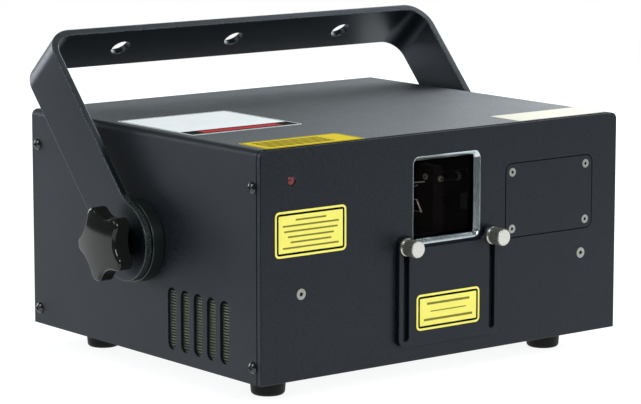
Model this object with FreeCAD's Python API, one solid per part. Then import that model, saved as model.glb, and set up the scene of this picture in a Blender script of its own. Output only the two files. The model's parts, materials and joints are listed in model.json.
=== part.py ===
import FreeCAD, Part
import math
import os

# Laser show projector: a sheet metal case on rubber feet, hung from a U bracket
# that two star knobs clamp at mid height. Millimetres, +Z up, the front looks
# along -Y, and the origin lies on the floor under the middle of the whole part.

# Case
case_width = 300.0
case_depth = 257.4
case_height = 147.0
front_thickness = 4.0
cover_thickness = 2.0
rear_thickness = 2.0
base_thickness = 3.0
corner_radius = 4.5
seam_gap = 0.6
fit_gap = 0.2
post_size = 9.0
edge_round = 0.6

# Screws: every shank has the same small gap to its hole
screw_gap = 0.05
m4_shank = 2.0
m4_button_head = 3.9
m4_button_height = 2.3
m4_flat_head = 3.6
m4_hex = 1.45
m3_shank = 1.5
m3_flat_head = 2.9
m3_hex = 1.15
hex_depth = 1.2
cover_screw_length = 9.0
cover_screw_low = 10.6
cover_screw_drop = 23.5
panel_screw_inset = 31.5
panel_screw_drop = 92.4
panel_screw_length = 9.0
rear_screw_low = 40.0
rear_screw_drop = 45.0
rear_screw_length = 8.0

# Feet
foot_height = 15.0
foot_top_radius = 12.0
foot_bottom_radius = 10.8
foot_round = 2.5
foot_inset_x = 32.3
foot_inset_y = 35.7
foot_recess_gap = 0.6
foot_recess_depth = 8.0
foot_screw_radius = 2.5
foot_screw_head = 4.4
foot_screw_head_height = 3.0

# Beam window in the front panel, measured down from the case's top edge
aperture_drop = 43.1
aperture_inner = 50.7
aperture_rim = 3.15
aperture_outer_radius = 5.0
aperture_inner_radius = 2.2
aperture_land = 0.3
aperture_chamfer_depth = 2.95
aperture_lip = 0.75
frame_flange = 4.0
frame_flange_thickness = 1.5
glass_overlap = 1.8
glass_thickness = 1.8
clamp_overlap = 4.0
clamp_thickness = 1.5

# Emission lamp
lamp_inset = 24.1
lamp_drop = 20.6
lamp_radius = 3.3
lamp_recess = 0.3
lamp_holder_wall = 2.0
lamp_holder_length = 7.0

# Access plate
access_left = 51.0
access_margin = 22.5
access_drop = 51.0
access_length = 48.8
access_thickness = 2.0
access_radius = 5.0
access_gap = 0.5
access_screw_inset = 5.6
access_ledge = 10.8
access_screw_length = 6.0

# Mask plate that slides up over the window, and its two thumb screws
mask_thickness = 3.0
mask_gap = 0.5
mask_side = 6.0
mask_bottom = 10.9
mask_ear_rise = 6.6
mask_corner = 5.0
mask_ear_round = 6.0
mask_ear_inner_round = 1.8
mask_notch_side = 1.8
mask_notch_gap = 1.4
mask_notch_round = 6.0
mask_slot_width = 4.4
mask_slot_end = 3.5
thumb_beside = 7.8
thumb_rise = 0.4
thumb_gap = 0.3
thumb_length = 11.4
thumb_radius = 5.5
thumb_collar_radius = 5.0
thumb_collar_length = 1.8
thumb_chamfer = 0.5
thumb_shank = 1.9
thumb_thread_gap = 0.08
thumb_insert_wall = 1.6
thumb_insert_length = 8.0

# Side vents, as many as fit between the front and the pivot, and the screens behind them
vent_pitch = 14.15
vent_width = 9.5
vent_bottom = 7.9
vent_length = 40.5
vent_front_gap = 30.1
vent_pivot_gap = 26.6
screen_thickness = 1.0
screen_margin = 3.0
screen_pitch = 1.35
screen_bar = 0.6

# Bracket, pivots and star knobs
pivot_height = 75.0
bracket_lean = 42.15
bracket_thickness = 5.0
bracket_width = 39.0
bracket_bend = 19.0
bracket_eye = 26.0
bracket_blend = 30.0
bracket_hole = 6.75
bracket_hole_pitch = 95.4
swing_clearance = 2.1
running_gap = 0.3
disc_radius = 27.0
disc_thickness = 8.9
stud_radius = 4.0
stud_gap = 0.3
stud_thread_gap = 0.08
stud_grip = 15.0
stud_end = 2.0
pivot_plate_thickness = 4.0
pivot_plate_half = 24.0
pivot_plate_foot = 24.0
pivot_nut_radius = 9.0
pivot_nut_flange = 13.0
pivot_nut_flange_thickness = 4.0
knob_radius = 25.0
knob_lobes = 5
knob_lobe_radius = 5.4
knob_valley = 18.0
knob_thickness = 13.5
knob_dome = 130.0
knob_rim = 2.2
knob_back_rim = 1.0
knob_hub_radius = 11.0
knob_hub_length = 7.0
knob_phase = 42.8

# Front panel brackets, optical bench and the pieces on it
panel_bracket_width = 20.0
panel_bracket_foot = 18.0
panel_bracket_thickness = 3.0
panel_bracket_above = 10.0
bench_thickness = 8.0
bench_margin = 30.0
bench_front = 16.0
bench_rear = 48.0
bench_corner = 4.0
bench_post_radius = 6.0
bench_post_inset = 13.0
beam_height = 21.0
beam_offset = 45.0
mirror_step = 14.0
fold_angle = 45.0
laser_count = 3
laser_first = 40.0
laser_gap = 4.0
laser_edge = 5.0
laser_length = 80.0
laser_height = 36.0
laser_setback = 16.0
laser_snout = 5.0
laser_snout_length = 6.0
laser_fins = 5
laser_fin_depth = 8.0
optic_size = 12.0
optic_thickness = 1.5
optic_mount_width = 9.0
scanner_wall = 8.0
scanner_base = 6.0
scanner_side = 14.0
scanner_depth = 30.0
scanner_above = 15.0
galvo_radius = 8.0
galvo_length = 40.0
galvo_clear = 13.0
scan_shaft = 1.5
scan_shaft_gap = 0.06
scan_shaft_grip = 12.0
scan_mirror_size = 9.0
scan_mirror_thickness = 1.0

# Electronics under the bench
board_thickness = 1.6
board_standoff = 6.0
board_standoff_radius = 3.0
board_hole_inset = 5.0
supply_wall_gap = 56.0
supply_right = 8.0
supply_front = 94.0
supply_headroom = 19.9
supply_shelf = 12.6
driver_wall_gap = 48.0
driver_right = -20.0
driver_front = 40.0
driver_depth = 46.0
amplifier_left = 22.0
amplifier_wall_gap = 48.0
amplifier_front = 36.0
amplifier_depth = 60.0
amplifier_headroom = 23.9
amplifier_wall = 4.0
control_left = 20.0
control_wall_gap = 44.0
control_front = 118.0
rear_fitting_room = 67.4
# Parts on the boards: x, y, width, length, height, where a negative x or y counts from the far edge
control_parts = (
    (12.0, 12.0, 22.0, 22.0, 3.0),
    (-38.0, 10.0, 10.0, 26.0, 12.0),
    (14.0, -26.0, 26.0, 12.0, 9.0),
    (-32.0, -24.0, 18.0, 12.0, 6.0),
)
driver_parts = (
    (10.0, 8.0, 12.0, 30.0, 18.0),
    (30.0, 8.0, 12.0, 30.0, 18.0),
    (-28.0, 8.0, 16.0, 14.0, 10.0),
    (-28.0, -18.0, 16.0, 10.0, 10.0),
)

# Fans
fan_size = 60.0
fan_depth = 20.0
fan_x = 72.0
fan_top_gap = 12.0
fan_corner = 4.0
fan_wall = 1.6
fan_hub = 12.0
fan_tip_gap = 0.9
fan_blades = 7
fan_blade_thickness = 1.4
fan_blade_angle = 38.0
fan_shaft = 1.5
fan_shaft_gap = 0.06
fan_strut = 3.0
fan_struts = 4
fan_motor_depth = 5.0
fan_guard_wire = 1.6
fan_guard_rings = (9.0, 16.0, 23.0, 29.5)
fan_guard_reach = 40.0

# Rear sockets in one row, lock switch and safety eye
socket_row = 32.0
socket_flange_width = 26.0
socket_flange_height = 31.0
socket_flange_thickness = 2.0
socket_corner = 3.0
socket_body = 11.8
socket_depth = 22.0
power_body_width = 20.0
power_body_height = 26.0
power_wall = 1.6
power_depth = 14.0
power_pin_width = 2.0
power_pin_height = 4.0
power_pin_length = 9.0
power_pin_pitch = 7.0
data_recess = 9.5
data_recess_depth = 12.0
data_pin = 1.2
data_pin_circle = 4.6
data_pin_turns = (30.0, 150.0, 270.0)
port_width = 53.0
port_height = 12.5
port_shell_width = 39.0
port_shell_height = 8.4
port_shell_length = 5.5
network_width = 12.0
network_height = 8.5
network_depth = 13.0
interlock_radius = 6.5
interlock_collar = 8.0
interlock_length = 5.0
lock_radius = 8.0
lock_nut_radius = 11.0
lock_nut_thickness = 2.5
lock_length = 5.0
lock_depth = 24.0
lock_slot_height = 9.0
lock_slot_depth = 6.0
lock_slot_gap = 0.3
key_length = 14.0
key_blade_thickness = 2.0
key_bow_radius = 8.0
key_bow_hole = 2.6
eye_gap = 4.0
eye_width = 22.0
eye_reach = 16.5
eye_thickness = 3.0
eye_hole = 4.5
eye_round = 6.6
eye_plate_height = 18.0
eye_rivet = 1.8
eye_rivet_height = 1.0
eye_rivet_inset = 4.0

# Places that follow from the sizes above
half_width = case_width / 2
inner_half = half_width - cover_thickness
case_bottom = foot_height
case_top = case_bottom + case_height
base_top = case_bottom + base_thickness
ceiling = case_top - cover_thickness
front_reach = mask_gap + mask_thickness + thumb_gap + thumb_length
rear_reach = lock_length + key_length
front_y = (front_reach - rear_reach - case_depth) / 2
back_y = front_y + case_depth
panel_back = front_y + front_thickness
rear_front = back_y - rear_thickness
cover_front = panel_back + seam_gap
pivot_y = front_y + case_depth / 2
pivot_z = case_bottom + pivot_height
arm_inner = half_width + disc_thickness + running_gap
arm_outer = arm_inner + bracket_thickness
corner_rise = max(pivot_height, case_height - pivot_height)
bar_inner = math.hypot(case_depth / 2, corner_rise) + swing_clearance
bar_outer = bar_inner + bracket_thickness
knob_back = arm_outer + running_gap
knob_star = knob_back + knob_hub_length
panel_screw_x = half_width - panel_screw_inset
panel_screw_z = case_top - panel_screw_drop
foot_recess_radius = foot_screw_head + foot_recess_gap
aperture_outer = aperture_inner + 2 * aperture_rim
aperture_z = case_top - aperture_drop
aperture_foot = aperture_z - aperture_outer / 2
frame_back = front_thickness + frame_flange_thickness
lamp_x = lamp_inset - half_width
lamp_z = case_top - lamp_drop
access_width = half_width - access_margin - access_left
access_x = access_left + access_width / 2
access_z = case_top - access_drop
thumb_x = aperture_outer / 2 + thumb_beside
thumb_z = aperture_foot + thumb_rise
mask_front = front_y - mask_gap - mask_thickness
thumb_face = mask_front - thumb_gap
vent_room = pivot_y - vent_pivot_gap - front_y - vent_front_gap
vent_steps = int((vent_room - vent_width) / vent_pitch)
vent_middle = front_y + vent_front_gap + vent_room / 2
bench_half_width = inner_half - bench_margin
beam_z = aperture_z - mirror_step
bench_top = beam_z - beam_height
bench_under = bench_top - bench_thickness
beam_y = front_y + beam_offset
bench_y = (front_y + bench_front, back_y - bench_rear)
laser_room = bench_half_width - laser_first - laser_edge + laser_gap / 2
laser_spacing = laser_room / (laser_count - 0.5)
laser_width = laser_spacing - laser_gap
fan_bore = fan_size / 2 - fan_wall
fan_z = ceiling - fan_top_gap - fan_size / 2
row_z = case_bottom + socket_row
lock_z = pivot_z
eye_z = lock_z + lock_nut_radius + eye_gap + eye_plate_height / 2

sides = {
    "front": ((1, 0, 0), (0, 0, 1), (0, -1, 0)),
    "rear": ((-1, 0, 0), (0, 0, 1), (0, 1, 0)),
    "left": ((0, -1, 0), (0, 0, 1), (-1, 0, 0)),
    "right": ((0, 1, 0), (0, 0, 1), (1, 0, 0)),
    "top": ((1, 0, 0), (0, 1, 0), (0, 0, 1)),
    "bottom": ((1, 0, 0), (0, -1, 0), (0, 0, -1)),
}


def vector(x, y, z=0.0):
    return FreeCAD.Vector(x, y, z)


def place(shape, side, x, y, z):
    # Local z points out of the named side, and local y points up on the four walls
    axes = [FreeCAD.Vector(*axis) for axis in sides[side]]
    placed = shape.copy()
    placed.Placement = FreeCAD.Placement(vector(x, y, z), FreeCAD.Rotation(*axes, "ZXY"))
    return placed


def block(x_span, y_span, z_span):
    corner = vector(x_span[0], y_span[0], z_span[0])
    size = (x_span[1] - x_span[0], y_span[1] - y_span[0], z_span[1] - z_span[0])
    return Part.makeBox(*size, corner)


def rod(radius, z_low, z_high, x=0.0, y=0.0):
    return Part.makeCylinder(radius, z_high - z_low, vector(x, y, z_low))


def tube(outer, inner, z_low, z_high, x=0.0, y=0.0):
    return rod(outer, z_low, z_high, x, y).cut(rod(inner, z_low, z_high, x, y))


def segment(start, end):
    return Part.LineSegment(vector(*start), vector(*end)).toShape()


def arc(start, middle, end):
    return Part.Arc(vector(*start), vector(*middle), vector(*end)).toShape()


def corner_arc(centre, radius, from_angle, to_angle):
    angles = (from_angle, (from_angle + to_angle) / 2, to_angle)
    turn = [math.radians(angle) for angle in angles]
    points = [(centre[0] + radius * math.cos(a), centre[1] + radius * math.sin(a)) for a in turn]
    return arc(*points)


def rounded_wire(width, height, radius, z=0.0):
    x = width / 2 - radius
    y = height / 2 - radius
    centres = ((x, y, 0), (-x, y, 90), (-x, -y, 180), (x, -y, 270))
    corners = [corner_arc((cx, cy), radius, a, a + 90) for cx, cy, a in centres]
    edges = []
    for index, corner in enumerate(corners):
        following = corners[(index + 1) % len(corners)]
        edges.append(corner)
        edges.append(Part.makeLine(corner.Vertexes[-1].Point, following.Vertexes[0].Point))
    wire = Part.Wire(edges)
    wire.translate(vector(0, 0, z))
    return wire


def slab(width, height, radius, z_low, z_high):
    face = Part.Face(rounded_wire(width, height, radius, z_low))
    return face.extrude(vector(0, 0, z_high - z_low))


def oblong(width, length, z_low, z_high):
    # An upright slot with round ends, centred on the local origin
    radius = width / 2
    reach = length / 2 - radius
    edges = [
        corner_arc((0, reach), radius, 0, 180),
        segment((-radius, reach), (-radius, -reach)),
        corner_arc((0, -reach), radius, 180, 360),
        segment((radius, -reach), (radius, reach)),
    ]
    face = Part.Face(Part.Wire(edges))
    face.translate(vector(0, 0, z_low))
    return face.extrude(vector(0, 0, z_high - z_low))


def prism(edges, z_low, z_high):
    face = Part.Face(Part.Wire(Part.__sortEdges__(edges)))
    face.translate(vector(0, 0, z_low))
    return face.extrude(vector(0, 0, z_high - z_low))


def turned(outline):
    # A solid of revolution about local z from (radius, height) points
    points = [vector(r, 0, z) for r, z in outline]
    face = Part.Face(Part.makePolygon(points + points[:1]))
    return face.revolve(vector(0, 0, 0), vector(0, 0, 1), 360)


def hexagon(across_radius, z_low, z_high):
    corners = [math.radians(60 * step) for step in range(6)]
    points = [vector(across_radius * math.cos(a), across_radius * math.sin(a), z_low) for a in corners]
    face = Part.Face(Part.makePolygon(points + points[:1]))
    return face.extrude(vector(0, 0, z_high - z_low))


def join(shapes):
    return shapes[0].multiFuse(shapes[1:]).removeSplitter()


def group(shapes):
    return Part.makeCompound(shapes)


def mirrored(shape):
    return shape.mirror(vector(0, 0, 0), vector(1, 0, 0))


def flat_screw(head, shank, length, socket):
    # A countersunk screw whose flat face is at local z = 0
    outline = [(0, 0), (head, 0), (shank, shank - head), (shank, -length), (0, -length)]
    return turned(outline).cut(hexagon(socket, -hex_depth, 0))


def flat_screw_hole(head, shank, length):
    wide = head + screw_gap
    narrow = shank + screw_gap
    outline = [(0, 0), (wide, 0), (narrow, narrow - wide), (narrow, -length), (0, -length)]
    return turned(outline)


def button_screw(head, head_height, shank, length):
    # A domed screw whose bearing face is at local z = 0
    dome = (head * head + head_height * head_height) / (2 * head_height)
    ball = Part.makeSphere(dome, vector(0, 0, head_height - dome))
    cap = ball.common(rod(head, 0, head_height))
    return join([cap, rod(shank, -length, 0)])


def both_sides(x):
    return (-x, x)


# Case shell

def screw_places():
    front = panel_back + post_size / 2
    rear = rear_front - post_size / 2
    heights = (case_bottom + cover_screw_low, case_top - cover_screw_drop)
    return [(y, z) for y in (front, rear) for z in heights]


def make_base_plate():
    half = inner_half - fit_gap
    plate = block((-half, half), (panel_back, rear_front), (case_bottom, base_top))
    holes = [rod(foot_screw_radius + screw_gap, case_bottom, base_top, x, y) for x, y in foot_places()]
    return plate.cut(holes)


def make_top_cover():
    low = case_bottom
    high = case_top - corner_radius
    inner_radius = corner_radius - cover_thickness
    bend = half_width - corner_radius
    outline = [
        segment((-half_width, low), (-half_width, high)),
        corner_arc((-bend, high), corner_radius, 180, 90),
        segment((-bend, case_top), (bend, case_top)),
        corner_arc((bend, high), corner_radius, 90, 0),
        segment((half_width, high), (half_width, low)),
        segment((half_width, low), (inner_half, low)),
        segment((inner_half, low), (inner_half, high)),
        corner_arc((bend, high), inner_radius, 0, 90),
        segment((bend, ceiling), (-bend, ceiling)),
        corner_arc((-bend, high), inner_radius, 90, 180),
        segment((-inner_half, high), (-inner_half, low)),
        segment((-inner_half, low), (-half_width, low)),
    ]
    shell = place(prism(outline, 0, back_y - cover_front), "front", 0, back_y, 0)
    slot_z = case_bottom + vent_bottom + vent_length / 2
    tools = []
    for side, x in (("left", -half_width), ("right", half_width)):
        for y in vent_places():
            tools.append(place(oblong(vent_width, vent_length, -cover_thickness, 0), side, x, y, slot_z))
        for y, z in screw_places():
            tools.append(place(rod(m4_shank + screw_gap, -cover_thickness, 0), side, x, y, z))
        tools.append(place(rod(stud_radius + stud_gap, -cover_thickness, 0), side, x, pivot_y, pivot_z))
    return shell.cut(tools)


def vent_places():
    first = vent_middle - vent_pitch * vent_steps / 2
    return [first + vent_pitch * step for step in range(vent_steps + 1)]


def panel_blank(half, low, high, radius, thickness):
    bend = half - radius
    shoulder = high - radius
    outline = [
        segment((-half, low), (half, low)),
        segment((half, low), (half, shoulder)),
        corner_arc((bend, shoulder), radius, 0, 90),
        segment((bend, high), (-bend, high)),
        corner_arc((-bend, shoulder), radius, 90, 180),
        segment((-half, shoulder), (-half, low)),
    ]
    return prism(outline, -thickness, 0)


def make_front_panel():
    blank = panel_blank(half_width, case_bottom, case_top, corner_radius, front_thickness)
    rim = [edge for edge in blank.Edges if edge.BoundBox.ZMin > -fit_gap]
    blank = blank.makeFillet(edge_round, rim)
    panel = place(blank, "front", 0, front_y, 0)
    through = front_thickness
    opening = aperture_outer + 2 * screw_gap
    window = slab(opening, opening, aperture_outer_radius + screw_gap, -through, 0)
    recess = slab(access_width + 2 * access_gap, access_length + 2 * access_gap,
                  access_radius + access_gap, -access_thickness, 0)
    hatch = slab(access_width - 2 * access_ledge, access_length - 2 * access_ledge,
                 access_radius, -through, 0)
    tools = [
        place(window, "front", 0, front_y, aperture_z),
        place(recess.fuse(hatch), "front", access_x, front_y, access_z),
        place(rod(lamp_radius + screw_gap, -through, 0), "front", lamp_x, front_y, lamp_z),
    ]
    for x, z in access_screw_places():
        tools.append(place(rod(m3_shank + screw_gap, -through, 0), "front", x, front_y, z))
    for x in both_sides(panel_screw_x):
        hole = flat_screw_hole(m4_flat_head, m4_shank, through)
        tools.append(place(hole, "front", x, front_y, panel_screw_z))
    for x in both_sides(thumb_x):
        hole = rod(thumb_shank + thumb_thread_gap + thumb_insert_wall, -through, 0)
        tools.append(place(hole, "front", x, front_y, thumb_z))
    return panel.cut(tools)


def make_rear_panel():
    half = inner_half - fit_gap
    blank = panel_blank(half, case_bottom, ceiling - fit_gap, corner_radius - cover_thickness, rear_thickness)
    panel = place(blank, "rear", 0, back_y, 0)
    through = rear_thickness
    x_of = row_places()
    power = slab(power_body_width + 2 * screw_gap, power_body_height + 2 * screw_gap,
                 socket_corner, -through, 0)
    data = rod(socket_body + screw_gap, -through, 0)
    network = slab(network_width + 2 * socket_corner, network_height + 2 * socket_corner,
                   socket_corner, -through, 0)
    port = slab(port_shell_width, port_shell_height, socket_corner, -through, 0)
    interlock = rod(interlock_radius + screw_gap, -through, 0)
    row_holes = {
        "power_in": power, "power_out": power, "port": port, "network": network,
        "data_in": data, "data_out": data, "interlock": interlock,
    }
    tools = [place(hole, "rear", x_of[name], back_y, row_z) for name, hole in row_holes.items()]
    for x in both_sides(fan_x):
        tools.append(place(rod(fan_bore, -through, 0), "rear", x, back_y, fan_z))
    tools.append(place(rod(lock_radius + screw_gap, -through, 0), "rear", 0, back_y, lock_z))
    for x, z in rear_screw_places():
        tools.append(place(rod(m4_shank + screw_gap, -through, 0), "rear", x, back_y, z))
    return panel.cut(tools)


def rear_screw_places():
    x = inner_half - post_size / 2
    heights = (case_bottom + rear_screw_low, case_top - rear_screw_drop)
    return [(side, z) for side in both_sides(x) for z in heights]


def make_corner_posts():
    posts = []
    for x_span in ((-inner_half, post_size - inner_half), (inner_half - post_size, inner_half)):
        for y_span in ((panel_back, panel_back + post_size), (rear_front - post_size, rear_front)):
            posts.append(block(x_span, y_span, (base_top, ceiling - corner_radius)))
    holes = []
    for side, x in (("left", -inner_half), ("right", inner_half)):
        for y, z in screw_places():
            holes.append(place(rod(m4_shank + screw_gap, -cover_screw_length, 0), side, x, y, z))
    for x, z in rear_screw_places():
        holes.append(place(rod(m4_shank + screw_gap, -post_size, 0), "rear", x, rear_front, z))
    return group([post.cut(holes) for post in posts])


def make_cover_screws():
    screw = button_screw(m4_button_head, m4_button_height, m4_shank, cover_screw_length)
    screws = []
    for side, x in (("left", -half_width), ("right", half_width)):
        screws += [place(screw, side, x, y, z) for y, z in screw_places()]
    return group(screws)


def make_rear_screws():
    screw = button_screw(m4_button_head, m4_button_height, m4_shank, rear_screw_length)
    return group([place(screw, "rear", x, back_y, z) for x, z in rear_screw_places()])


def make_panel_screws():
    screw = flat_screw(m4_flat_head, m4_shank, panel_screw_length, m4_hex)
    return group([place(screw, "front", x, front_y, panel_screw_z) for x in both_sides(panel_screw_x)])


def make_panel_brackets():
    # An angle behind each front screw, standing on the base plate
    brackets = []
    top = panel_screw_z + panel_bracket_above
    for x in both_sides(panel_screw_x):
        x_span = (x - panel_bracket_width / 2, x + panel_bracket_width / 2)
        upright = block(x_span, (panel_back, panel_back + panel_bracket_thickness), (base_top, top))
        foot = block(x_span, (panel_back, panel_back + panel_bracket_foot),
                     (base_top, base_top + panel_bracket_thickness))
        hole = rod(m4_shank + screw_gap, -panel_bracket_thickness, 0)
        hole = place(hole, "front", x, panel_back, panel_screw_z)
        brackets.append(join([upright, foot]).cut(hole))
    return group(brackets)


# Feet

def foot_places():
    x = half_width - foot_inset_x
    return [(side, y) for side in both_sides(x) for y in (front_y + foot_inset_y, back_y - foot_inset_y)]


def make_feet():
    foot = Part.makeCone(foot_bottom_radius, foot_top_radius, foot_height)
    rim = [edge for edge in foot.Edges if edge.BoundBox.ZMax < fit_gap]
    foot = foot.makeFillet(foot_round, rim)
    foot = foot.cut([
        rod(foot_recess_radius, 0, foot_recess_depth),
        rod(foot_screw_radius + screw_gap, 0, foot_height),
    ])
    return group([place(foot, "top", x, y, 0) for x, y in foot_places()])


def make_foot_screws():
    head = rod(foot_screw_head, foot_recess_depth - foot_screw_head_height, foot_recess_depth)
    screw = join([head, rod(foot_screw_radius, foot_recess_depth, base_top)])
    return group([place(screw, "top", x, y, 0) for x, y in foot_places()])


# Beam window, lamp and access plate

def make_aperture_frame():
    land = aperture_outer - 2 * aperture_land
    body = slab(aperture_outer, aperture_outer, aperture_outer_radius, -front_thickness, 0)
    flange_size = aperture_outer + 2 * frame_flange
    flange = slab(flange_size, flange_size, aperture_outer_radius + frame_flange,
                  -frame_back, -front_thickness)
    chamfer = Part.makeLoft([
        rounded_wire(land, land, aperture_outer_radius - aperture_land, 0),
        rounded_wire(aperture_inner, aperture_inner, aperture_inner_radius, -aperture_chamfer_depth),
    ], True, True)
    opening = slab(aperture_inner, aperture_inner, aperture_inner_radius,
                   -frame_back, -aperture_chamfer_depth)
    seat_size = aperture_inner + 2 * glass_overlap + 2 * fit_gap
    seat_front = -aperture_chamfer_depth - aperture_lip
    seat = slab(seat_size, seat_size, aperture_inner_radius, -frame_back, seat_front)
    return place(join([body, flange]).cut([chamfer, opening, seat]), "front", 0, front_y, aperture_z)


def make_window_glass():
    size = aperture_inner + 2 * glass_overlap
    front = -aperture_chamfer_depth - aperture_lip
    glass = slab(size, size, aperture_inner_radius, front - glass_thickness, front)
    return place(glass, "front", 0, front_y, aperture_z)


def make_window_clamp():
    front = -aperture_chamfer_depth - aperture_lip - glass_thickness
    size = aperture_outer + 2 * frame_flange
    hole = aperture_inner - clamp_overlap
    ring = slab(size, size, aperture_outer_radius + frame_flange, front - clamp_thickness, front)
    ring = ring.cut(slab(hole, hole, aperture_inner_radius, front - clamp_thickness, front))
    return place(ring, "front", 0, front_y, aperture_z)


def make_emission_lamp():
    length = front_thickness + lamp_holder_length
    lamp = rod(lamp_radius, -length, -lamp_recess)
    return place(lamp, "front", lamp_x, front_y, lamp_z)


def make_lamp_holder():
    inner = lamp_radius + screw_gap
    holder = tube(inner + lamp_holder_wall, inner, -lamp_holder_length, 0)
    return place(holder, "front", lamp_x, panel_back, lamp_z)


def access_screw_places():
    half_x = access_width / 2 - access_screw_inset
    half_z = access_length / 2 - access_screw_inset
    return [(access_x + x, access_z + z) for x in both_sides(half_x) for z in both_sides(half_z)]


def make_access_plate():
    plate = slab(access_width, access_length, access_radius, -access_thickness, 0)
    plate = place(plate, "front", access_x, front_y, access_z)
    hole = flat_screw_hole(m3_flat_head, m3_shank, access_thickness)
    return plate.cut([place(hole, "front", x, front_y, z) for x, z in access_screw_places()])


def make_access_screws():
    screw = flat_screw(m3_flat_head, m3_shank, access_screw_length, m3_hex)
    return group([place(screw, "front", x, front_y, z) for x, z in access_screw_places()])


# Mask plate and thumb screws

def make_mask_plate():
    # An ear on each side of a notch that the window frame sits in; the notch's corners are
    # as round as the ears leave room for
    outer = thumb_x + mask_side
    bottom = case_bottom + mask_bottom
    top = aperture_foot + mask_ear_rise
    ear_side = top - mask_ear_round
    inner = aperture_outer / 2 + mask_notch_side
    floor = aperture_foot - mask_notch_gap
    tip = top - mask_ear_inner_round
    notch_round = min(mask_notch_round, tip - floor - fit_gap)
    shelf = inner - notch_round
    half = [
        segment((0, bottom), (outer - mask_corner, bottom)),
        corner_arc((outer - mask_corner, bottom + mask_corner), mask_corner, 270, 360),
        segment((outer, bottom + mask_corner), (outer, ear_side)),
        corner_arc((outer - mask_ear_round, ear_side), mask_ear_round, 0, 90),
        segment((outer - mask_ear_round, top), (inner + mask_ear_inner_round, top)),
        corner_arc((inner + mask_ear_inner_round, tip), mask_ear_inner_round, 90, 180),
        segment((inner, tip), (inner, floor + notch_round)),
        corner_arc((shelf, floor + notch_round), notch_round, 0, -90),
        segment((shelf, floor), (0, floor)),
        segment((0, floor), (0, bottom)),
    ]
    right = prism(half, 0, mask_thickness)
    plate = join([right, mirrored(right)])
    low = bottom + mask_slot_end
    high = thumb_z + mask_slot_width / 2
    slot = oblong(mask_slot_width, high - low, 0, mask_thickness)
    cuts = [slot.translated(vector(x, (low + high) / 2)) for x in both_sides(thumb_x)]
    return place(plate.cut(cuts), "front", 0, front_y - mask_gap, 0)


def make_thumb_screw(x):
    grip = thumb_collar_length
    end = thumb_length
    outline = [
        (0, 0), (thumb_collar_radius, 0), (thumb_collar_radius, grip), (thumb_radius, grip),
        (thumb_radius, end - thumb_chamfer), (thumb_radius - thumb_chamfer, end), (0, end),
    ]
    shank = rod(thumb_shank, thumb_face - front_y - thumb_insert_length, 0)
    return place(join([turned(outline), shank]), "front", x, thumb_face, thumb_z)


def make_thumb_inserts():
    inner = thumb_shank + thumb_thread_gap
    insert = tube(inner + thumb_insert_wall, inner, -thumb_insert_length, 0)
    return group([place(insert, "front", x, front_y, thumb_z) for x in both_sides(thumb_x)])


# Vent screens

def make_vent_screen(side):
    places = vent_places()
    length = places[-1] - places[0] + vent_width + 2 * screen_margin
    height = vent_length + screen_margin
    plate = block((-length / 2, length / 2), (0, height), (-screen_thickness, 0))
    opening = height - 2 * screen_bar
    count = int(opening / screen_pitch)
    half = length / 2 - screen_margin / 2
    gaps = []
    for step in range(count):
        low = screen_bar + step * screen_pitch
        gaps.append(block((-half, half), (low, low + screen_pitch - screen_bar), (-screen_thickness, 0)))
    x = -inner_half if side == "left" else inner_half
    middle = (places[0] + places[-1]) / 2
    return place(plate.cut(gaps), side, x, middle, base_top + screen_bar)


# Bracket, pivots and knobs

def make_bracket():
    # Made upright about the pivot, then leaned back
    low = -bracket_eye
    high = bar_outer - bracket_bend
    bend = arm_outer - bracket_bend
    inner_bend = bracket_bend - bracket_thickness
    loop = [
        segment((-arm_outer, low), (-arm_outer, high)),
        corner_arc((-bend, high), bracket_bend, 180, 90),
        segment((-bend, bar_outer), (bend, bar_outer)),
        corner_arc((bend, high), bracket_bend, 90, 0),
        segment((arm_outer, high), (arm_outer, low)),
        segment((arm_outer, low), (arm_inner, low)),
        segment((arm_inner, low), (arm_inner, high)),
        corner_arc((bend, high), inner_bend, 0, 90),
        segment((bend, bar_inner), (-bend, bar_inner)),
        corner_arc((-bend, high), inner_bend, 90, 180),
        segment((-arm_inner, high), (-arm_inner, low)),
        segment((-arm_inner, low), (-arm_outer, low)),
    ]
    strip = place(prism(loop, -bracket_eye, bracket_eye), "front", 0, 0, 0)

    half = bracket_width / 2
    centre_x = half + bracket_blend
    centre_z = math.sqrt((bracket_eye + bracket_blend) ** 2 - centre_x ** 2)
    meet = math.degrees(math.atan2(centre_z, centre_x))
    profile = [
        segment((half, bar_outer), (half, centre_z)),
        corner_arc((centre_x, centre_z), bracket_blend, 180, 180 + meet),
        corner_arc((0, 0), bracket_eye, meet, -90),
        corner_arc((0, 0), bracket_eye, -90, -180 - meet),
        corner_arc((-centre_x, centre_z), bracket_blend, -meet, 0),
        segment((-half, centre_z), (-half, bar_outer)),
        segment((-half, bar_outer), (half, bar_outer)),
    ]
    flank = place(prism(profile, -arm_outer, arm_outer), "right", 0, 0, 0)
    bracket = strip.common(flank)

    hole_places = (-bracket_hole_pitch, 0, bracket_hole_pitch)
    holes = [rod(bracket_hole, bar_inner, bar_outer, x, 0) for x in hole_places]
    holes.append(place(rod(stud_radius + stud_gap, -arm_outer, arm_outer), "right", 0, 0, 0))
    bracket = bracket.cut(holes)
    bracket.rotate(vector(0, 0, 0), vector(1, 0, 0), -bracket_lean)
    bracket.translate(vector(0, pivot_y, pivot_z))
    return bracket


def make_friction_disc(side, direction):
    disc = tube(disc_radius, stud_radius + stud_gap, 0, disc_thickness)
    return place(disc, side, direction * half_width, pivot_y, pivot_z)


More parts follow.
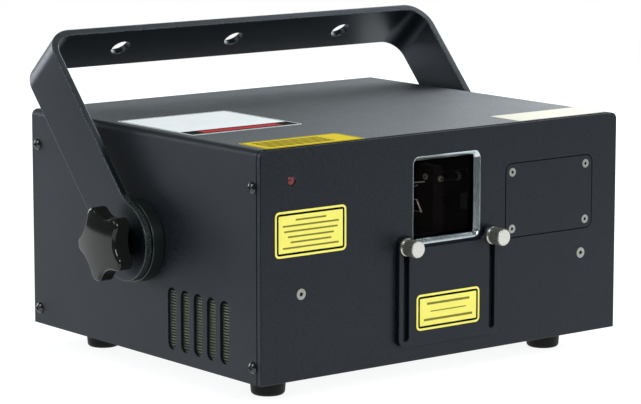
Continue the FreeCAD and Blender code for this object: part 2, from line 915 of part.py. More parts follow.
def make_pivot_plate(side, direction):
    drop = pivot_z - base_top
    half = pivot_plate_half
    outline = [
        segment((-half, -drop), (half, -drop)),
        segment((half, -drop), (half, 0)),
        corner_arc((0, 0), half, 0, 180),
        segment((-half, 0), (-half, -drop)),
    ]
    upright = prism(outline, -pivot_plate_thickness, 0)
    foot = block((-half, half), (-drop, pivot_plate_thickness - drop), (-pivot_plate_foot, 0))
    plate = join([upright, foot]).cut(rod(pivot_nut_radius + screw_gap, -pivot_plate_thickness, 0))
    return place(plate, side, direction * inner_half, pivot_y, pivot_z)


def nut_depth():
    return pivot_plate_thickness + pivot_nut_flange_thickness


def make_pivot_nuts():
    hole = stud_radius + stud_thread_gap
    barrel = tube(pivot_nut_radius, hole, -pivot_plate_thickness, 0)
    flange = tube(pivot_nut_flange, hole, -nut_depth(), -pivot_plate_thickness)
    nut = join([barrel, flange])
    places = (("left", -inner_half), ("right", inner_half))
    return group([place(nut, side, x, pivot_y, pivot_z) for side, x in places])


def star_wire():
    # Round lobes joined by hollows that run tangent into them
    half_step = 180 / knob_lobes
    reach = knob_radius - knob_lobe_radius
    drop = knob_lobe_radius - knob_valley
    spread = math.cos(math.radians(half_step))
    hollow_reach = (reach ** 2 - drop ** 2) / (2 * (reach * spread + drop))
    hollow = hollow_reach - knob_valley
    edges = []
    for lobe in range(knob_lobes):
        angle = knob_phase + lobe * 2 * half_step
        lobe_turn = math.radians(angle)
        hollow_turn = math.radians(angle + half_step)
        lobe_centre = (reach * math.cos(lobe_turn), reach * math.sin(lobe_turn))
        hollow_centre = (hollow_reach * math.cos(hollow_turn), hollow_reach * math.sin(hollow_turn))
        across = (hollow_centre[0] - lobe_centre[0], hollow_centre[1] - lobe_centre[1])
        meet = (math.degrees(math.atan2(across[1], across[0])) - angle) % 360
        edges.append(corner_arc(lobe_centre, knob_lobe_radius, angle - meet, angle + meet))
        sweep = meet - half_step
        back = angle + half_step + 180
        edges.append(corner_arc(hollow_centre, hollow, back + sweep, back - sweep))
    return edges


def make_knob(side, direction):
    dome = Part.makeSphere(knob_dome, vector(0, 0, knob_thickness - knob_dome))
    star = prism(star_wire(), 0, knob_thickness).common(dome)
    front_rim = [edge for edge in star.Edges if edge.BoundBox.ZMin > knob_thickness / 2]
    star = star.makeFillet(knob_rim, front_rim)
    back_rim = [edge for edge in star.Edges if edge.BoundBox.ZMax < fit_gap]
    star = star.makeChamfer(knob_back_rim, back_rim)
    hub = rod(knob_hub_radius, -knob_hub_length, 0)
    socket = rod(stud_radius + screw_gap, -knob_hub_length, stud_grip - knob_hub_length)
    knob = join([star, hub]).cut(socket)
    return place(knob, side, direction * knob_star, pivot_y, pivot_z)


def make_knob_stud(side):
    inner = inner_half - nut_depth() - stud_end
    stud = rod(stud_radius, inner, knob_back + stud_grip)
    return place(stud, side, 0, pivot_y, pivot_z)


# Optical bench

def bench_post_places():
    x = bench_half_width - bench_post_inset
    y_low = bench_y[0] + bench_post_inset
    y_high = bench_y[1] - bench_post_inset
    return [(side, y) for side in both_sides(x) for y in (y_low, y_high)]


def make_optical_bench():
    middle = (bench_y[0] + bench_y[1]) / 2
    bench = slab(2 * bench_half_width, bench_y[1] - bench_y[0], bench_corner, -bench_thickness, 0)
    return place(bench, "top", 0, middle, bench_top)


def make_bench_posts():
    return group([rod(bench_post_radius, base_top, bench_under, x, y) for x, y in bench_post_places()])


def laser_x(index):
    return -laser_first - laser_spacing * index


def make_laser_module(index):
    # A finned block that fires towards the front
    x = laser_x(index)
    front = beam_y + laser_setback
    x_span = (x - laser_width / 2, x + laser_width / 2)
    body = block(x_span, (front, front + laser_length), (bench_top, bench_top + laser_height))
    pitch = laser_width / (2 * laser_fins + 1)
    top = bench_top + laser_height
    grooves = []
    for step in range(laser_fins):
        low = x_span[0] + pitch * (2 * step + 1)
        grooves.append(block((low, low + pitch), (front, front + laser_length), (top - laser_fin_depth, top)))
    snout = place(rod(laser_snout, 0, laser_snout_length), "front", x, front, beam_z)
    return join([body.cut(grooves), snout])


def make_optic_mounts():
    # A turned post behind each optic that holds it across the beams
    mounts = []
    half = optic_size / 2
    for index in range(laser_count):
        post = block((-optic_mount_width, 0), (-half, half), (0, beam_height + half))
        post.rotate(vector(0, 0, 0), vector(0, 0, 1), fold_angle)
        post.translate(vector(laser_x(index), beam_y, bench_top))
        mounts.append(post)
    return group(mounts)


def make_combiner_optics():
    optics = []
    half = optic_size / 2
    for index in range(laser_count):
        plate = block((0, optic_thickness), (-half, half), (beam_height - half, beam_height + half))
        plate.rotate(vector(0, 0, 0), vector(0, 0, 1), fold_angle)
        plate.translate(vector(laser_x(index), beam_y, bench_top))
        optics.append(plate)
    return group(optics)


def make_scanner_block():
    # Two upright walls at right angles on one foot, each bored for a motor
    y_wall = beam_y + galvo_clear
    low = bench_top + scanner_base
    foot = block((-scanner_side, scanner_side + scanner_wall),
                 (beam_y - scanner_depth / 2, y_wall + scanner_wall), (bench_top, low))
    back = block((-scanner_side, scanner_side), (y_wall, y_wall + scanner_wall),
                 (low, beam_z + scanner_above))
    flank = block((scanner_side, scanner_side + scanner_wall),
                  (beam_y - scanner_depth / 2, y_wall + scanner_wall), (low, aperture_z + scanner_above))
    bores = [
        place(rod(galvo_radius + screw_gap, 0, scanner_wall), "rear", 0, y_wall, beam_z),
        place(rod(galvo_radius + screw_gap, 0, scanner_wall), "right", scanner_side, beam_y, aperture_z),
    ]
    return join([foot, back, flank]).cut(bores)


def galvo_motor():
    bore = scan_shaft + scan_shaft_gap
    return rod(galvo_radius, 0, galvo_length).cut(rod(bore, 0, scan_shaft_grip))


def make_galvo_x():
    return place(galvo_motor(), "rear", 0, beam_y + galvo_clear, beam_z)


def make_galvo_y():
    return place(galvo_motor(), "right", scanner_side, beam_y, aperture_z)


def scan_mirror(reach):
    # A shaft with a flat mirror clamped across its free end
    half = scan_mirror_size / 2
    plate = block((0, scan_mirror_thickness), (-half, half), (reach - half, reach + half))
    plate.rotate(vector(0, 0, 0), vector(0, 0, 1), fold_angle)
    shaft = rod(scan_shaft, reach - half, scan_shaft_grip)
    return join([shaft, plate])


def make_scan_mirror_x():
    return place(scan_mirror(-galvo_clear), "rear", 0, beam_y + galvo_clear, beam_z)


def make_scan_mirror_y():
    return place(scan_mirror(-scanner_side), "right", scanner_side, beam_y, aperture_z)


# Electronics

def from_edge(span, offset, length):
    start = span[0] + offset if offset >= 0 else span[1] + offset
    return (start, start + length)


def circuit_board(x_span, y_span, parts):
    # A board on four standoffs with its taller parts
    under = base_top + board_standoff
    over = under + board_thickness
    shapes = [block(x_span, y_span, (under, over))]
    inset = board_hole_inset
    for x in (x_span[0] + inset, x_span[1] - inset):
        for y in (y_span[0] + inset, y_span[1] - inset):
            shapes.append(rod(board_standoff_radius, base_top, under, x, y))
    for x, y, width, length, height in parts:
        shapes.append(block(from_edge(x_span, x, width), from_edge(y_span, y, length), (over, over + height)))
    return join(shapes)


def make_control_board():
    x_span = (control_left, inner_half - control_wall_gap)
    y_span = (front_y + control_front, back_y - rear_fitting_room)
    return circuit_board(x_span, y_span, control_parts)


def make_laser_driver():
    x_span = (driver_wall_gap - inner_half, driver_right)
    y_span = (front_y + driver_front, front_y + driver_front + driver_depth)
    return circuit_board(x_span, y_span, driver_parts)


def make_scanner_driver():
    # Two amplifier boards on an upright heat spreader
    x_span = (amplifier_left, inner_half - amplifier_wall_gap)
    low = front_y + amplifier_front
    high = low + amplifier_depth
    top = bench_under - amplifier_headroom
    wall = amplifier_wall
    middle = (low + high) / 2
    foot = block(x_span, (low, high), (base_top, base_top + wall))
    spreader = block(x_span, (middle - wall, middle), (base_top, top))
    board_span = (x_span[0] + wall, x_span[1] - wall)
    boards = []
    for y in (low + board_hole_inset, high - board_hole_inset - board_thickness):
        boards.append(block(board_span, (y, y + board_thickness), (base_top + wall, top)))
    return join([foot, spreader] + boards)


def make_power_supply():
    # A closed metal box with an open terminal shelf along its rear edge
    x_span = (supply_wall_gap - inner_half, supply_right)
    low = front_y + supply_front
    high = back_y - rear_fitting_room
    top = bench_under - supply_headroom
    box = block(x_span, (low, high - supply_shelf), (base_top, top))
    tray = block(x_span, (high - supply_shelf, high), (base_top, min(base_top + supply_shelf, top)))
    return join([box, tray])


# Fans

def make_fan_frames():
    bore = rod(fan_bore, -fan_depth, 0)
    body = slab(fan_size, fan_size, fan_corner, -fan_depth, 0).cut(bore)
    hub = rod(fan_hub, -fan_motor_depth, 0)
    shapes = [body, hub]
    for step in range(fan_struts):
        strut = block((0, fan_bore + fan_wall), (-fan_strut / 2, fan_strut / 2), (-fan_strut, 0))
        strut.rotate(vector(0, 0, 0), vector(0, 0, 1), 360 / fan_struts * (step + 0.5))
        shapes.append(strut)
    frame = join(shapes).cut(rod(fan_shaft + fan_shaft_gap, -fan_motor_depth, 0))
    return group([place(frame, "rear", x, rear_front, fan_z) for x in both_sides(fan_x)])


def make_fan_rotor(x):
    tip = fan_bore - fan_tip_gap
    low = -fan_depth + running_gap
    high = -fan_motor_depth - running_gap
    hub = rod(fan_hub, low, high)
    sweep = tube(tip, fan_hub - fan_blade_thickness, low, high)
    half = (high - low) / 2 / math.sin(math.radians(fan_blade_angle))
    blades = []
    for step in range(fan_blades):
        blade = block((0, tip), (-half, half), (-fan_blade_thickness / 2, fan_blade_thickness / 2))
        blade.rotate(vector(0, 0, 0), vector(1, 0, 0), fan_blade_angle)
        blade.rotate(vector(0, 0, 0), vector(0, 0, 1), 360 / fan_blades * step)
        blade.translate(vector(0, 0, (low + high) / 2))
        blades.append(blade.common(sweep))
    shaft = rod(fan_shaft, high, -running_gap)
    rotor = join([hub, shaft] + blades)
    return place(rotor, "rear", x, rear_front, fan_z)


def make_fan_guards():
    wire = fan_guard_wire
    rings = [tube(radius + wire / 2, radius - wire / 2, 0, wire) for radius in fan_guard_rings]
    for turn in (45, 135):
        bar = block((-fan_guard_reach, fan_guard_reach), (-wire / 2, wire / 2), (0, wire))
        bar.rotate(vector(0, 0, 0), vector(0, 0, 1), turn)
        rings.append(bar)
    guard = join(rings)
    return group([place(guard, "rear", x, back_y, fan_z) for x in both_sides(fan_x)])


# Rear sockets

def row_places():
    # Fittings from right to left, spread evenly between the corner posts
    flange = socket_flange_width
    widths = {
        "power_in": flange, "power_out": flange, "port": port_width, "network": flange,
        "data_in": flange, "data_out": flange, "interlock": 2 * interlock_collar,
    }
    room = 2 * (inner_half - post_size)
    gap = (room - sum(widths.values())) / (len(widths) + 1)
    edge = room / 2
    places = {}
    for name, width in widths.items():
        places[name] = edge - gap - width / 2
        edge -= gap + width
    return places


def socket_flange():
    return slab(socket_flange_width, socket_flange_height, socket_corner, 0, socket_flange_thickness)


def make_power_sockets():
    # An inlet with three blades in a deep recess, and an outlet with three slots
    face = socket_flange_thickness
    body = slab(power_body_width, power_body_height, socket_corner, -socket_depth, 0)
    blank = join([socket_flange(), body])
    floor = face - power_depth
    recess = slab(power_body_width - 2 * power_wall, power_body_height - 2 * power_wall,
                  socket_corner - power_wall, floor, face)
    blades = []
    for step in (-1, 0, 1):
        middle = step * power_pin_pitch
        x_span = (-power_pin_width / 2, power_pin_width / 2)
        y_span = (middle - power_pin_height / 2, middle + power_pin_height / 2)
        blades.append(block(x_span, y_span, (floor, floor + power_pin_length)))
    inlet = join([blank.cut(recess)] + blades)
    outlet = blank.cut([blade.translated(vector(0, 0, face - floor - power_pin_length)) for blade in blades])
    x_of = row_places()
    return group([
        place(inlet, "rear", x_of["power_in"], back_y, row_z),
        place(outlet, "rear", x_of["power_out"], back_y, row_z),
    ])


def make_data_sockets():
    # A round inlet with three pins and an outlet with three holes
    face = socket_flange_thickness
    blank = join([socket_flange(), rod(socket_body, -socket_depth, 0)])
    recess = rod(data_recess, face - data_recess_depth, face)
    pins = []
    for turn in data_pin_turns:
        x = data_pin_circle * math.cos(math.radians(turn))
        y = data_pin_circle * math.sin(math.radians(turn))
        pins.append(rod(data_pin, face - data_recess_depth, 0, x, y))
    inlet = join([blank.cut(recess)] + pins)
    outlet = blank.cut([pin.translated(vector(0, 0, face)) for pin in pins])
    x_of = row_places()
    return group([
        place(inlet, "rear", x_of["data_in"], back_y, row_z),
        place(outlet, "rear", x_of["data_out"], back_y, row_z),
    ])


def make_control_ports():
    x_of = row_places()
    flange = slab(port_width, port_height, socket_corner, 0, socket_flange_thickness)
    shell = slab(port_shell_width, port_shell_height, socket_corner, 0, port_shell_length)
    port = place(join([flange, shell]), "rear", x_of["port"], back_y, row_z)
    face = socket_flange_thickness
    plate = socket_flange()
    body = slab(network_width + 2 * socket_corner, network_height + 2 * socket_corner, socket_corner,
                -socket_depth, 0)
    cavity = block((-network_width / 2, network_width / 2), (-network_height / 2, network_height / 2),
                   (face - network_depth, face))
    network = place(join([plate, body]).cut(cavity), "rear", x_of["network"], back_y, row_z)
    plug = join([rod(interlock_collar, 0, interlock_length), rod(interlock_radius, -socket_depth, 0)])
    interlock = place(plug, "rear", x_of["interlock"], back_y, row_z)
    return group([port, network, interlock])


def make_lock_switch():
    nut = rod(lock_nut_radius, 0, lock_nut_thickness)
    barrel = rod(lock_radius, -lock_depth, lock_length)
    slot = rod(lock_slot_height / 2 + lock_slot_gap, lock_length - lock_slot_depth, lock_length)
    return place(join([nut, barrel]).cut(slot), "rear", 0, back_y, lock_z)


def make_key():
    # The lock's turning plug with the key in it, bow outwards
    plug = rod(lock_slot_height / 2, lock_length - lock_slot_depth + lock_slot_gap, lock_length)
    stem = lock_length + key_length - 2 * key_bow_radius
    thick = key_blade_thickness
    blade = block((-thick / 2, thick / 2), (-lock_slot_height / 2 + thick, lock_slot_height / 2 - thick),
                  (lock_length, max(stem, lock_length) + thick))
    bow = place(rod(key_bow_radius, -thick / 2, thick / 2), "right", 0, 0, 0)
    hole = place(rod(key_bow_hole, -thick / 2, thick / 2), "right", 0, 0, 0)
    bow = bow.cut(hole.translated(vector(0, 0, key_bow_radius / 2)))
    bow.translate(vector(0, 0, lock_length + key_length - key_bow_radius))
    low = block((-key_bow_radius, key_bow_radius), (-key_bow_radius, key_bow_radius),
                (lock_length, lock_length + key_length))
    key = join([plug, blade, bow.common(low)])
    return place(key, "rear", 0, back_y, lock_z)


def make_safety_eye():
    # An angle riveted to the rear wall, with a round hole for a safety wire
    half = eye_width / 2
    half_thick = eye_thickness / 2
    plate = slab(eye_width, eye_plate_height, socket_corner, 0, eye_thickness)
    tab = block((-half, half), (-half_thick, half_thick), (0, eye_reach))
    corners = [edge for edge in tab.Edges
               if edge.BoundBox.ZMin > eye_reach - fit_gap and edge.BoundBox.XLength < fit_gap]
    tab = tab.makeFillet(eye_round, corners)
    hole = Part.makeCylinder(eye_hole, eye_thickness,
                             vector(0, -half_thick, eye_reach - eye_hole - eye_thickness), vector(0, 1, 0))
    shapes = [plate, tab]
    for x in both_sides(half - eye_rivet_inset):
        for y in both_sides(eye_plate_height / 2 - eye_rivet_inset):
            shapes.append(rod(eye_rivet, eye_thickness, eye_thickness + eye_rivet_height, x, y))
    return place(join(shapes).cut(hole), "rear", 0, back_y, eye_z)


pieces = {
    "base_plate": make_base_plate(),
    "top_cover": make_top_cover(),
    "front_panel": make_front_panel(),
    "rear_panel": make_rear_panel(),
    "corner_posts": make_corner_posts(),
    "panel_brackets": make_panel_brackets(),
    "cover_screws": make_cover_screws(),
    "rear_panel_screws": make_rear_screws(),
    "front_panel_screws": make_panel_screws(),
    "feet": make_feet(),
    "foot_screws": make_foot_screws(),
    "aperture_frame": make_aperture_frame(),
    "window_glass": make_window_glass(),
    "window_clamp": make_window_clamp(),
    "emission_lamp": make_emission_lamp(),
    "lamp_holder": make_lamp_holder(),
    "access_plate": make_access_plate(),
    "access_plate_screws": make_access_screws(),
    "mask_plate": make_mask_plate(),
    "thumb_screw_left": make_thumb_screw(-thumb_x),
    "thumb_screw_right": make_thumb_screw(thumb_x),
    "thumb_inserts": make_thumb_inserts(),
    "vent_screen_left": make_vent_screen("left"),
    "vent_screen_right": make_vent_screen("right"),
    "bracket": make_bracket(),
    "friction_disc_left": make_friction_disc("left", -1),
    "friction_disc_right": make_friction_disc("right", 1),
    "pivot_plate_left": make_pivot_plate("left", -1),
    "pivot_plate_right": make_pivot_plate("right", 1),
    "pivot_nuts": make_pivot_nuts(),
    "knob_left": make_knob("left", -1),
    "knob_right": make_knob("right", 1),
    "knob_stud_left": make_knob_stud("left"),
    "knob_stud_right": make_knob_stud("right"),
    "optical_bench": make_optical_bench(),
    "bench_posts": make_bench_posts(),
    "blue_laser_module": make_laser_module(0),
    "green_laser_module": make_laser_module(1),
    "red_laser_module": make_laser_module(2),
    "optic_mounts": make_optic_mounts(),
    "combiner_optics": make_combiner_optics(),
    "scanner_block": make_scanner_block(),
    "galvo_motor_x": make_galvo_x(),
    "galvo_motor_y": make_galvo_y(),
    "scan_mirror_x": make_scan_mirror_x(),
    "scan_mirror_y": make_scan_mirror_y(),
    "scanner_driver": make_scanner_driver(),
    "power_supply": make_power_supply(),
    "control_board": make_control_board(),
    "laser_driver": make_laser_driver(),
    "fan_frames": make_fan_frames(),
    "fan_rotor_left": make_fan_rotor(-fan_x),
    "fan_rotor_right": make_fan_rotor(fan_x),
    "fan_guards": make_fan_guards(),
    "lock_switch": make_lock_switch(),
    "key": make_key(),
    "power_sockets": make_power_sockets(),
    "data_sockets": make_data_sockets(),
    "control_ports": make_control_ports(),
    "safety_eye": make_safety_eye(),
}

os.makedirs("parts", exist_ok=True)
for name, shape in pieces.items():
    shape.exportStep(os.path.join("parts", name + ".step"))
    print(name, len(shape.Solids), "solids", round(shape.Volume / 1000, 2), "cm3", shape.isValid())
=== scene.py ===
import bpy
import json
import math
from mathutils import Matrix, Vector


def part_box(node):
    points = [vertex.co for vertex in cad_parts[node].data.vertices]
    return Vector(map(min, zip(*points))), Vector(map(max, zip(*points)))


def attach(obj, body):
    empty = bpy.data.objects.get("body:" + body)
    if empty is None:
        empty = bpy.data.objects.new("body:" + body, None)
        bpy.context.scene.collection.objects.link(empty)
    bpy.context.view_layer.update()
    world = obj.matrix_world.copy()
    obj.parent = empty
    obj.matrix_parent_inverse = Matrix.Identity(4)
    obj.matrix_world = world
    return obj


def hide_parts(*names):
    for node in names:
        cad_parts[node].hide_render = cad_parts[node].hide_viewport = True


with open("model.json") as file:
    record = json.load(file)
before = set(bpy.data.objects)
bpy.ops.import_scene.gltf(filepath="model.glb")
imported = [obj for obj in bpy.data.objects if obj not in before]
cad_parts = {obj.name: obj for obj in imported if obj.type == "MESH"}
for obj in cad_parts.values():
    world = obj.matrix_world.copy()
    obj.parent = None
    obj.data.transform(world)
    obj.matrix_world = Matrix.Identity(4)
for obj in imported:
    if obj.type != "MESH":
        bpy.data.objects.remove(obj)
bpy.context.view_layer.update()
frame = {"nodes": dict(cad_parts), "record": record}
nodes = frame["nodes"]
mm = 0.001
quarter = math.pi / 2
touch = 0.001 * mm  # heights closer than this are one
facing = 0.9  # share of a normal along an axis, above which a face looks along it
sideways = 0.5  # share of a normal along an axis, below which a face stands beside it
bevelSteps = 2
print("frame loaded with", len(nodes), "nodes")

nodeBody = {}
for bodyName, bodyNodes in frame["record"]["behaviour"]["bodies"].items():
    for nodeName in bodyNodes:
        nodeBody[nodeName] = bodyName


# sRGB hex to linear light, by the sRGB curve
def linearColour(hexValue):
    parts = [int(hexValue[start:start + 2], 16) / 255 for start in (1, 3, 5)]
    parts = [part / 12.92 if part <= 0.04045 else ((part + 0.055) / 1.055) ** 2.4 for part in parts]
    return (*parts, 1.0)


# settings and links go by a socket's name, or by its number where a node repeats a name
def addNode(tree, kind, settings=None, links=None):
    node = tree.nodes.new(kind)
    for key, value in (settings or {}).items():
        if isinstance(key, int) or key in node.inputs:
            node.inputs[key].default_value = value
        else:
            setattr(node, key, value)
    for key, source in (links or {}).items():
        tree.links.new(source, node.inputs[key])
    return node


def newMaterial(name, settings):
    material = bpy.data.materials.new(name)
    material.use_nodes = True
    shader = material.node_tree.nodes["Principled BSDF"]
    for key, value in settings.items():
        shader.inputs[key].default_value = value
    return material, material.node_tree, shader


# joins a surface's tone, roughness and relief to its shader
def dressShader(tree, shader, look, toneShare, rough, height, relief):
    tone = addNode(tree, "ShaderNodeMix",
                   {"data_type": "RGBA", 6: linearColour(look["dark"]), 7: linearColour(look["pale"])},
                   {0: toneShare})
    bump = addNode(tree, "ShaderNodeBump", {"Strength": look["depth"], "Distance": relief * mm},
                   {"Height": height})
    tree.links.new(tone.outputs[2], shader.inputs["Base Color"])
    tree.links.new(rough, shader.inputs["Roughness"])
    tree.links.new(bump.outputs["Normal"], shader.inputs["Normal"])


# powder coat on steel: baked grit, a dull blue black that turns silvery at low angles
# the grit is drawn coarser than real so that it shows
coatPattern = {"ior": 1.5, "detail": 2.0, "fade": 0.6, "cloud": 60.0, "cloudShare": 0.25,
               "specks": (0.38, 0.68), "dulling": (0.38, 0.62), "relief": 0.3}


def powderCoat(name, coat):
    material, tree, shader = newMaterial(name, {"IOR": coatPattern["ior"],
                                                "Specular IOR Level": coat["specular"],
                                                "Specular Tint": linearColour(coat["tint"])})
    place = addNode(tree, "ShaderNodeTexCoord")
    grain = addNode(tree, "ShaderNodeTexNoise",
                    {"Scale": 1 / (coat["grit"] * mm), "Detail": coatPattern["detail"],
                     "Roughness": coatPattern["fade"]}, {"Vector": place.outputs["Object"]})
    cloud = addNode(tree, "ShaderNodeTexNoise",
                    {"Scale": 1 / (coatPattern["cloud"] * mm), "Detail": coatPattern["detail"]},
                    {"Vector": place.outputs["Object"]})
    speckLow, speckHigh = coatPattern["specks"]
    speckle = addNode(tree, "ShaderNodeMapRange", {"From Min": speckLow, "From Max": speckHigh},
                      {"Value": grain.outputs["Fac"]})
    uneven = addNode(tree, "ShaderNodeMix", {0: coatPattern["cloudShare"]},
                     {2: grain.outputs["Fac"], 3: cloud.outputs["Fac"]})
    dullLow, dullHigh = coatPattern["dulling"]
    rough = addNode(tree, "ShaderNodeMapRange",
                    {"From Min": dullLow, "From Max": dullHigh,
                     "To Min": coat["roughness"] - coat["spread"],
                     "To Max": coat["roughness"] + coat["spread"]}, {"Value": uneven.outputs[0]})
    dressShader(tree, shader, coat, speckle.outputs["Result"], rough.outputs["Result"],
                grain.outputs["Fac"], coatPattern["relief"])
    return material


# milled, turned or plated metal: tool marks, stretched along one axis where they streak the highlights
# the marks are drawn coarser than real so that they show
metalPattern = {"detail": 4.0, "spread": 0.08, "relief": 0.03}


def toolMarkedMetal(name, metal):
    material, tree, shader = newMaterial(name, {"Metallic": 1.0})
    place = addNode(tree, "ShaderNodeTexCoord")
    squeeze = addNode(tree, "ShaderNodeMapping", {"Scale": metal["stretch"]},
                      {"Vector": place.outputs["Object"]})
    marks = addNode(tree, "ShaderNodeTexNoise",
                    {"Scale": 1 / (metal["mark"] * mm), "Detail": metalPattern["detail"]},
                    {"Vector": squeeze.outputs["Vector"]})
    rough = addNode(tree, "ShaderNodeMapRange",
                    {"To Min": metal["roughness"] - metalPattern["spread"],
                     "To Max": metal["roughness"] + metalPattern["spread"]},
                    {"Value": marks.outputs["Fac"]})
    dressShader(tree, shader, metal, marks.outputs["Fac"], rough.outputs["Result"],
                marks.outputs["Fac"], metalPattern["relief"])
    return material


# moulded, printed or painted skin: gloss or a dull face with faint unevenness
# fine grain is drawn coarse enough to show
skinPattern = {"ior": 1.5, "detail": 2.0, "spread": 0.15, "relief": 0.1}


def mouldedSkin(name, skin):
    material, tree, shader = newMaterial(name, {"IOR": skinPattern["ior"],
                                                "Specular IOR Level": skin["specular"]})
    place = addNode(tree, "ShaderNodeTexCoord")
    ripple = addNode(tree, "ShaderNodeTexNoise",
                     {"Scale": 1 / (skin["pitch"] * mm), "Detail": skinPattern["detail"]},
                     {"Vector": place.outputs["Object"]})
    rough = addNode(tree, "ShaderNodeMapRange",
                    {"To Min": skin["roughness"] * (1 - skinPattern["spread"]),
                     "To Max": skin["roughness"] * (1 + skinPattern["spread"])},
                    {"Value": ripple.outputs["Fac"]})
    dressShader(tree, shader, skin, ripple.outputs["Fac"], rough.outputs["Result"],
                ripple.outputs["Fac"], skinPattern["relief"])
    return material


coats = {
    # sheet steel folds: sandy grit that catches the light as fine speckle
    "caseCoat": ("powderCoatedSteelCase", {
        "dark": "#05070a", "pale": "#1d2227", "grit": 1.1, "depth": 0.35,
        "roughness": 0.48, "spread": 0.06, "specular": 0.39, "tint": "#e2eeff"}),
    # front plates: the same coat, a little smoother
    "frontCoat": ("powderCoatedSteelFront", {
        "dark": "#06080b", "pale": "#171b20", "grit": 1.1, "depth": 0.3,
        "roughness": 0.42, "spread": 0.08, "specular": 0.34, "tint": "#ecf2ff"}),
    # bracket: smoother satin coat with soft broad highlights
    "bracketCoat": ("satinPaintedSteelBracket", {
        "dark": "#05080b", "pale": "#12181d", "grit": 1.2, "depth": 0.25,
        "roughness": 0.38, "spread": 0.05, "specular": 0.38, "tint": "#d6e8ff"}),
    # bracket edges: painted highlight, the coat drawn pale and dotted along the bevelled corners
    "edgeHighlightCoat": ("paintedHighlightSteelEdge", {
        "dark": "#090c0e", "pale": "#4a5250", "grit": 1.4, "depth": 0.3,
        "roughness": 0.34, "spread": 0.08, "specular": 0.6, "tint": "#eef4ff"}),
    # eye rims: painted highlight, the coat drawn as dark and pale dots so that the rim looks lit
    "eyeRimHighlightCoat": ("dottedHighlightSteelRim", {
        "dark": "#040706", "pale": "#3a4341", "grit": 0.9, "depth": 0.5,
        "roughness": 0.34, "spread": 0.1, "specular": 0.5, "tint": "#eef8f4"}),
}
metals = {
    # bezel: bright bare metal with milling streaks
    "milledAluminium": ("milledAluminium", {
        "dark": "#aeb8bb", "pale": "#e8eef0", "roughness": 0.18,
        "stretch": (1, 1, 0.12), "mark": 0.8, "depth": 0.3}),
    # inner frame: dull sawn and folded metal
    "plainAluminium": ("plainAluminium", {
        "dark": "#8b8e90", "pale": "#b4b7b8", "roughness": 0.38,
        "stretch": (1, 0.1, 1), "mark": 0.6, "depth": 0.2}),
    # thumb screws and key: warm grey plating, turned face
    "nickel": ("nickelPlatedSteel", {
        "dark": "#cfcec6", "pale": "#dedcd4", "roughness": 0.28,
        "stretch": (1, 1, 1), "mark": 1.2, "depth": 0.04}),
    # countersunk screws, foot screws and studs: plating dulled to an olive grey
    "zincSteel": ("zincPlatedSteel", {
        "dark": "#83857d", "pale": "#bdbcb4", "roughness": 0.36,
        "stretch": (1, 1, 1), "mark": 0.7, "depth": 0.8}),
    # rear ports and lock: tinned shells with a soft grey sheen
    "portShell": ("tinnedSteelShell", {
        "dark": "#5b5d5a", "pale": "#7d7f7a", "roughness": 0.42,
        "stretch": (1, 1, 1), "mark": 0.8, "depth": 0.15}),
    # inserts and nuts: turned, with a warm yellow glint
    "brass": ("turnedBrass", {
        "dark": "#9b7f42", "pale": "#b99a55", "roughness": 0.3,
        "stretch": (1, 1, 1), "mark": 0.5, "depth": 0.15}),
    # knurled sides: the same plating, scattered by the ridges
    "knurledNickel": ("knurledNickel", {
        "dark": "#b9bab0", "pale": "#e0e0d6", "roughness": 0.5,
        "stretch": (1, 1, 1), "mark": 0.6, "depth": 0.3}),
    # cap screws and trim nut in the window: dull steel that only glints
    "capSteel": ("oiledCapScrewSteel", {
        "dark": "#8d8a7c", "pale": "#c2bfae", "roughness": 0.38,
        "stretch": (1, 1, 1), "mark": 0.6, "depth": 0.2}),
    # mirrors: a clear hard reflection
    "mirrorCoat": ("mirrorCoatedGlass", {
        "dark": "#dfe2e4", "pale": "#e8eaec", "roughness": 0.1,
        "stretch": (1, 1, 1), "mark": 3.0, "depth": 0.02}),
    # fan guards: plated wire with a thin bright line along it
    "steelWire": ("platedSteelWire", {
        "dark": "#8a8b89", "pale": "#a5a6a4", "roughness": 0.3,
        "stretch": (1, 1, 1), "mark": 0.6, "depth": 0.15}),
}
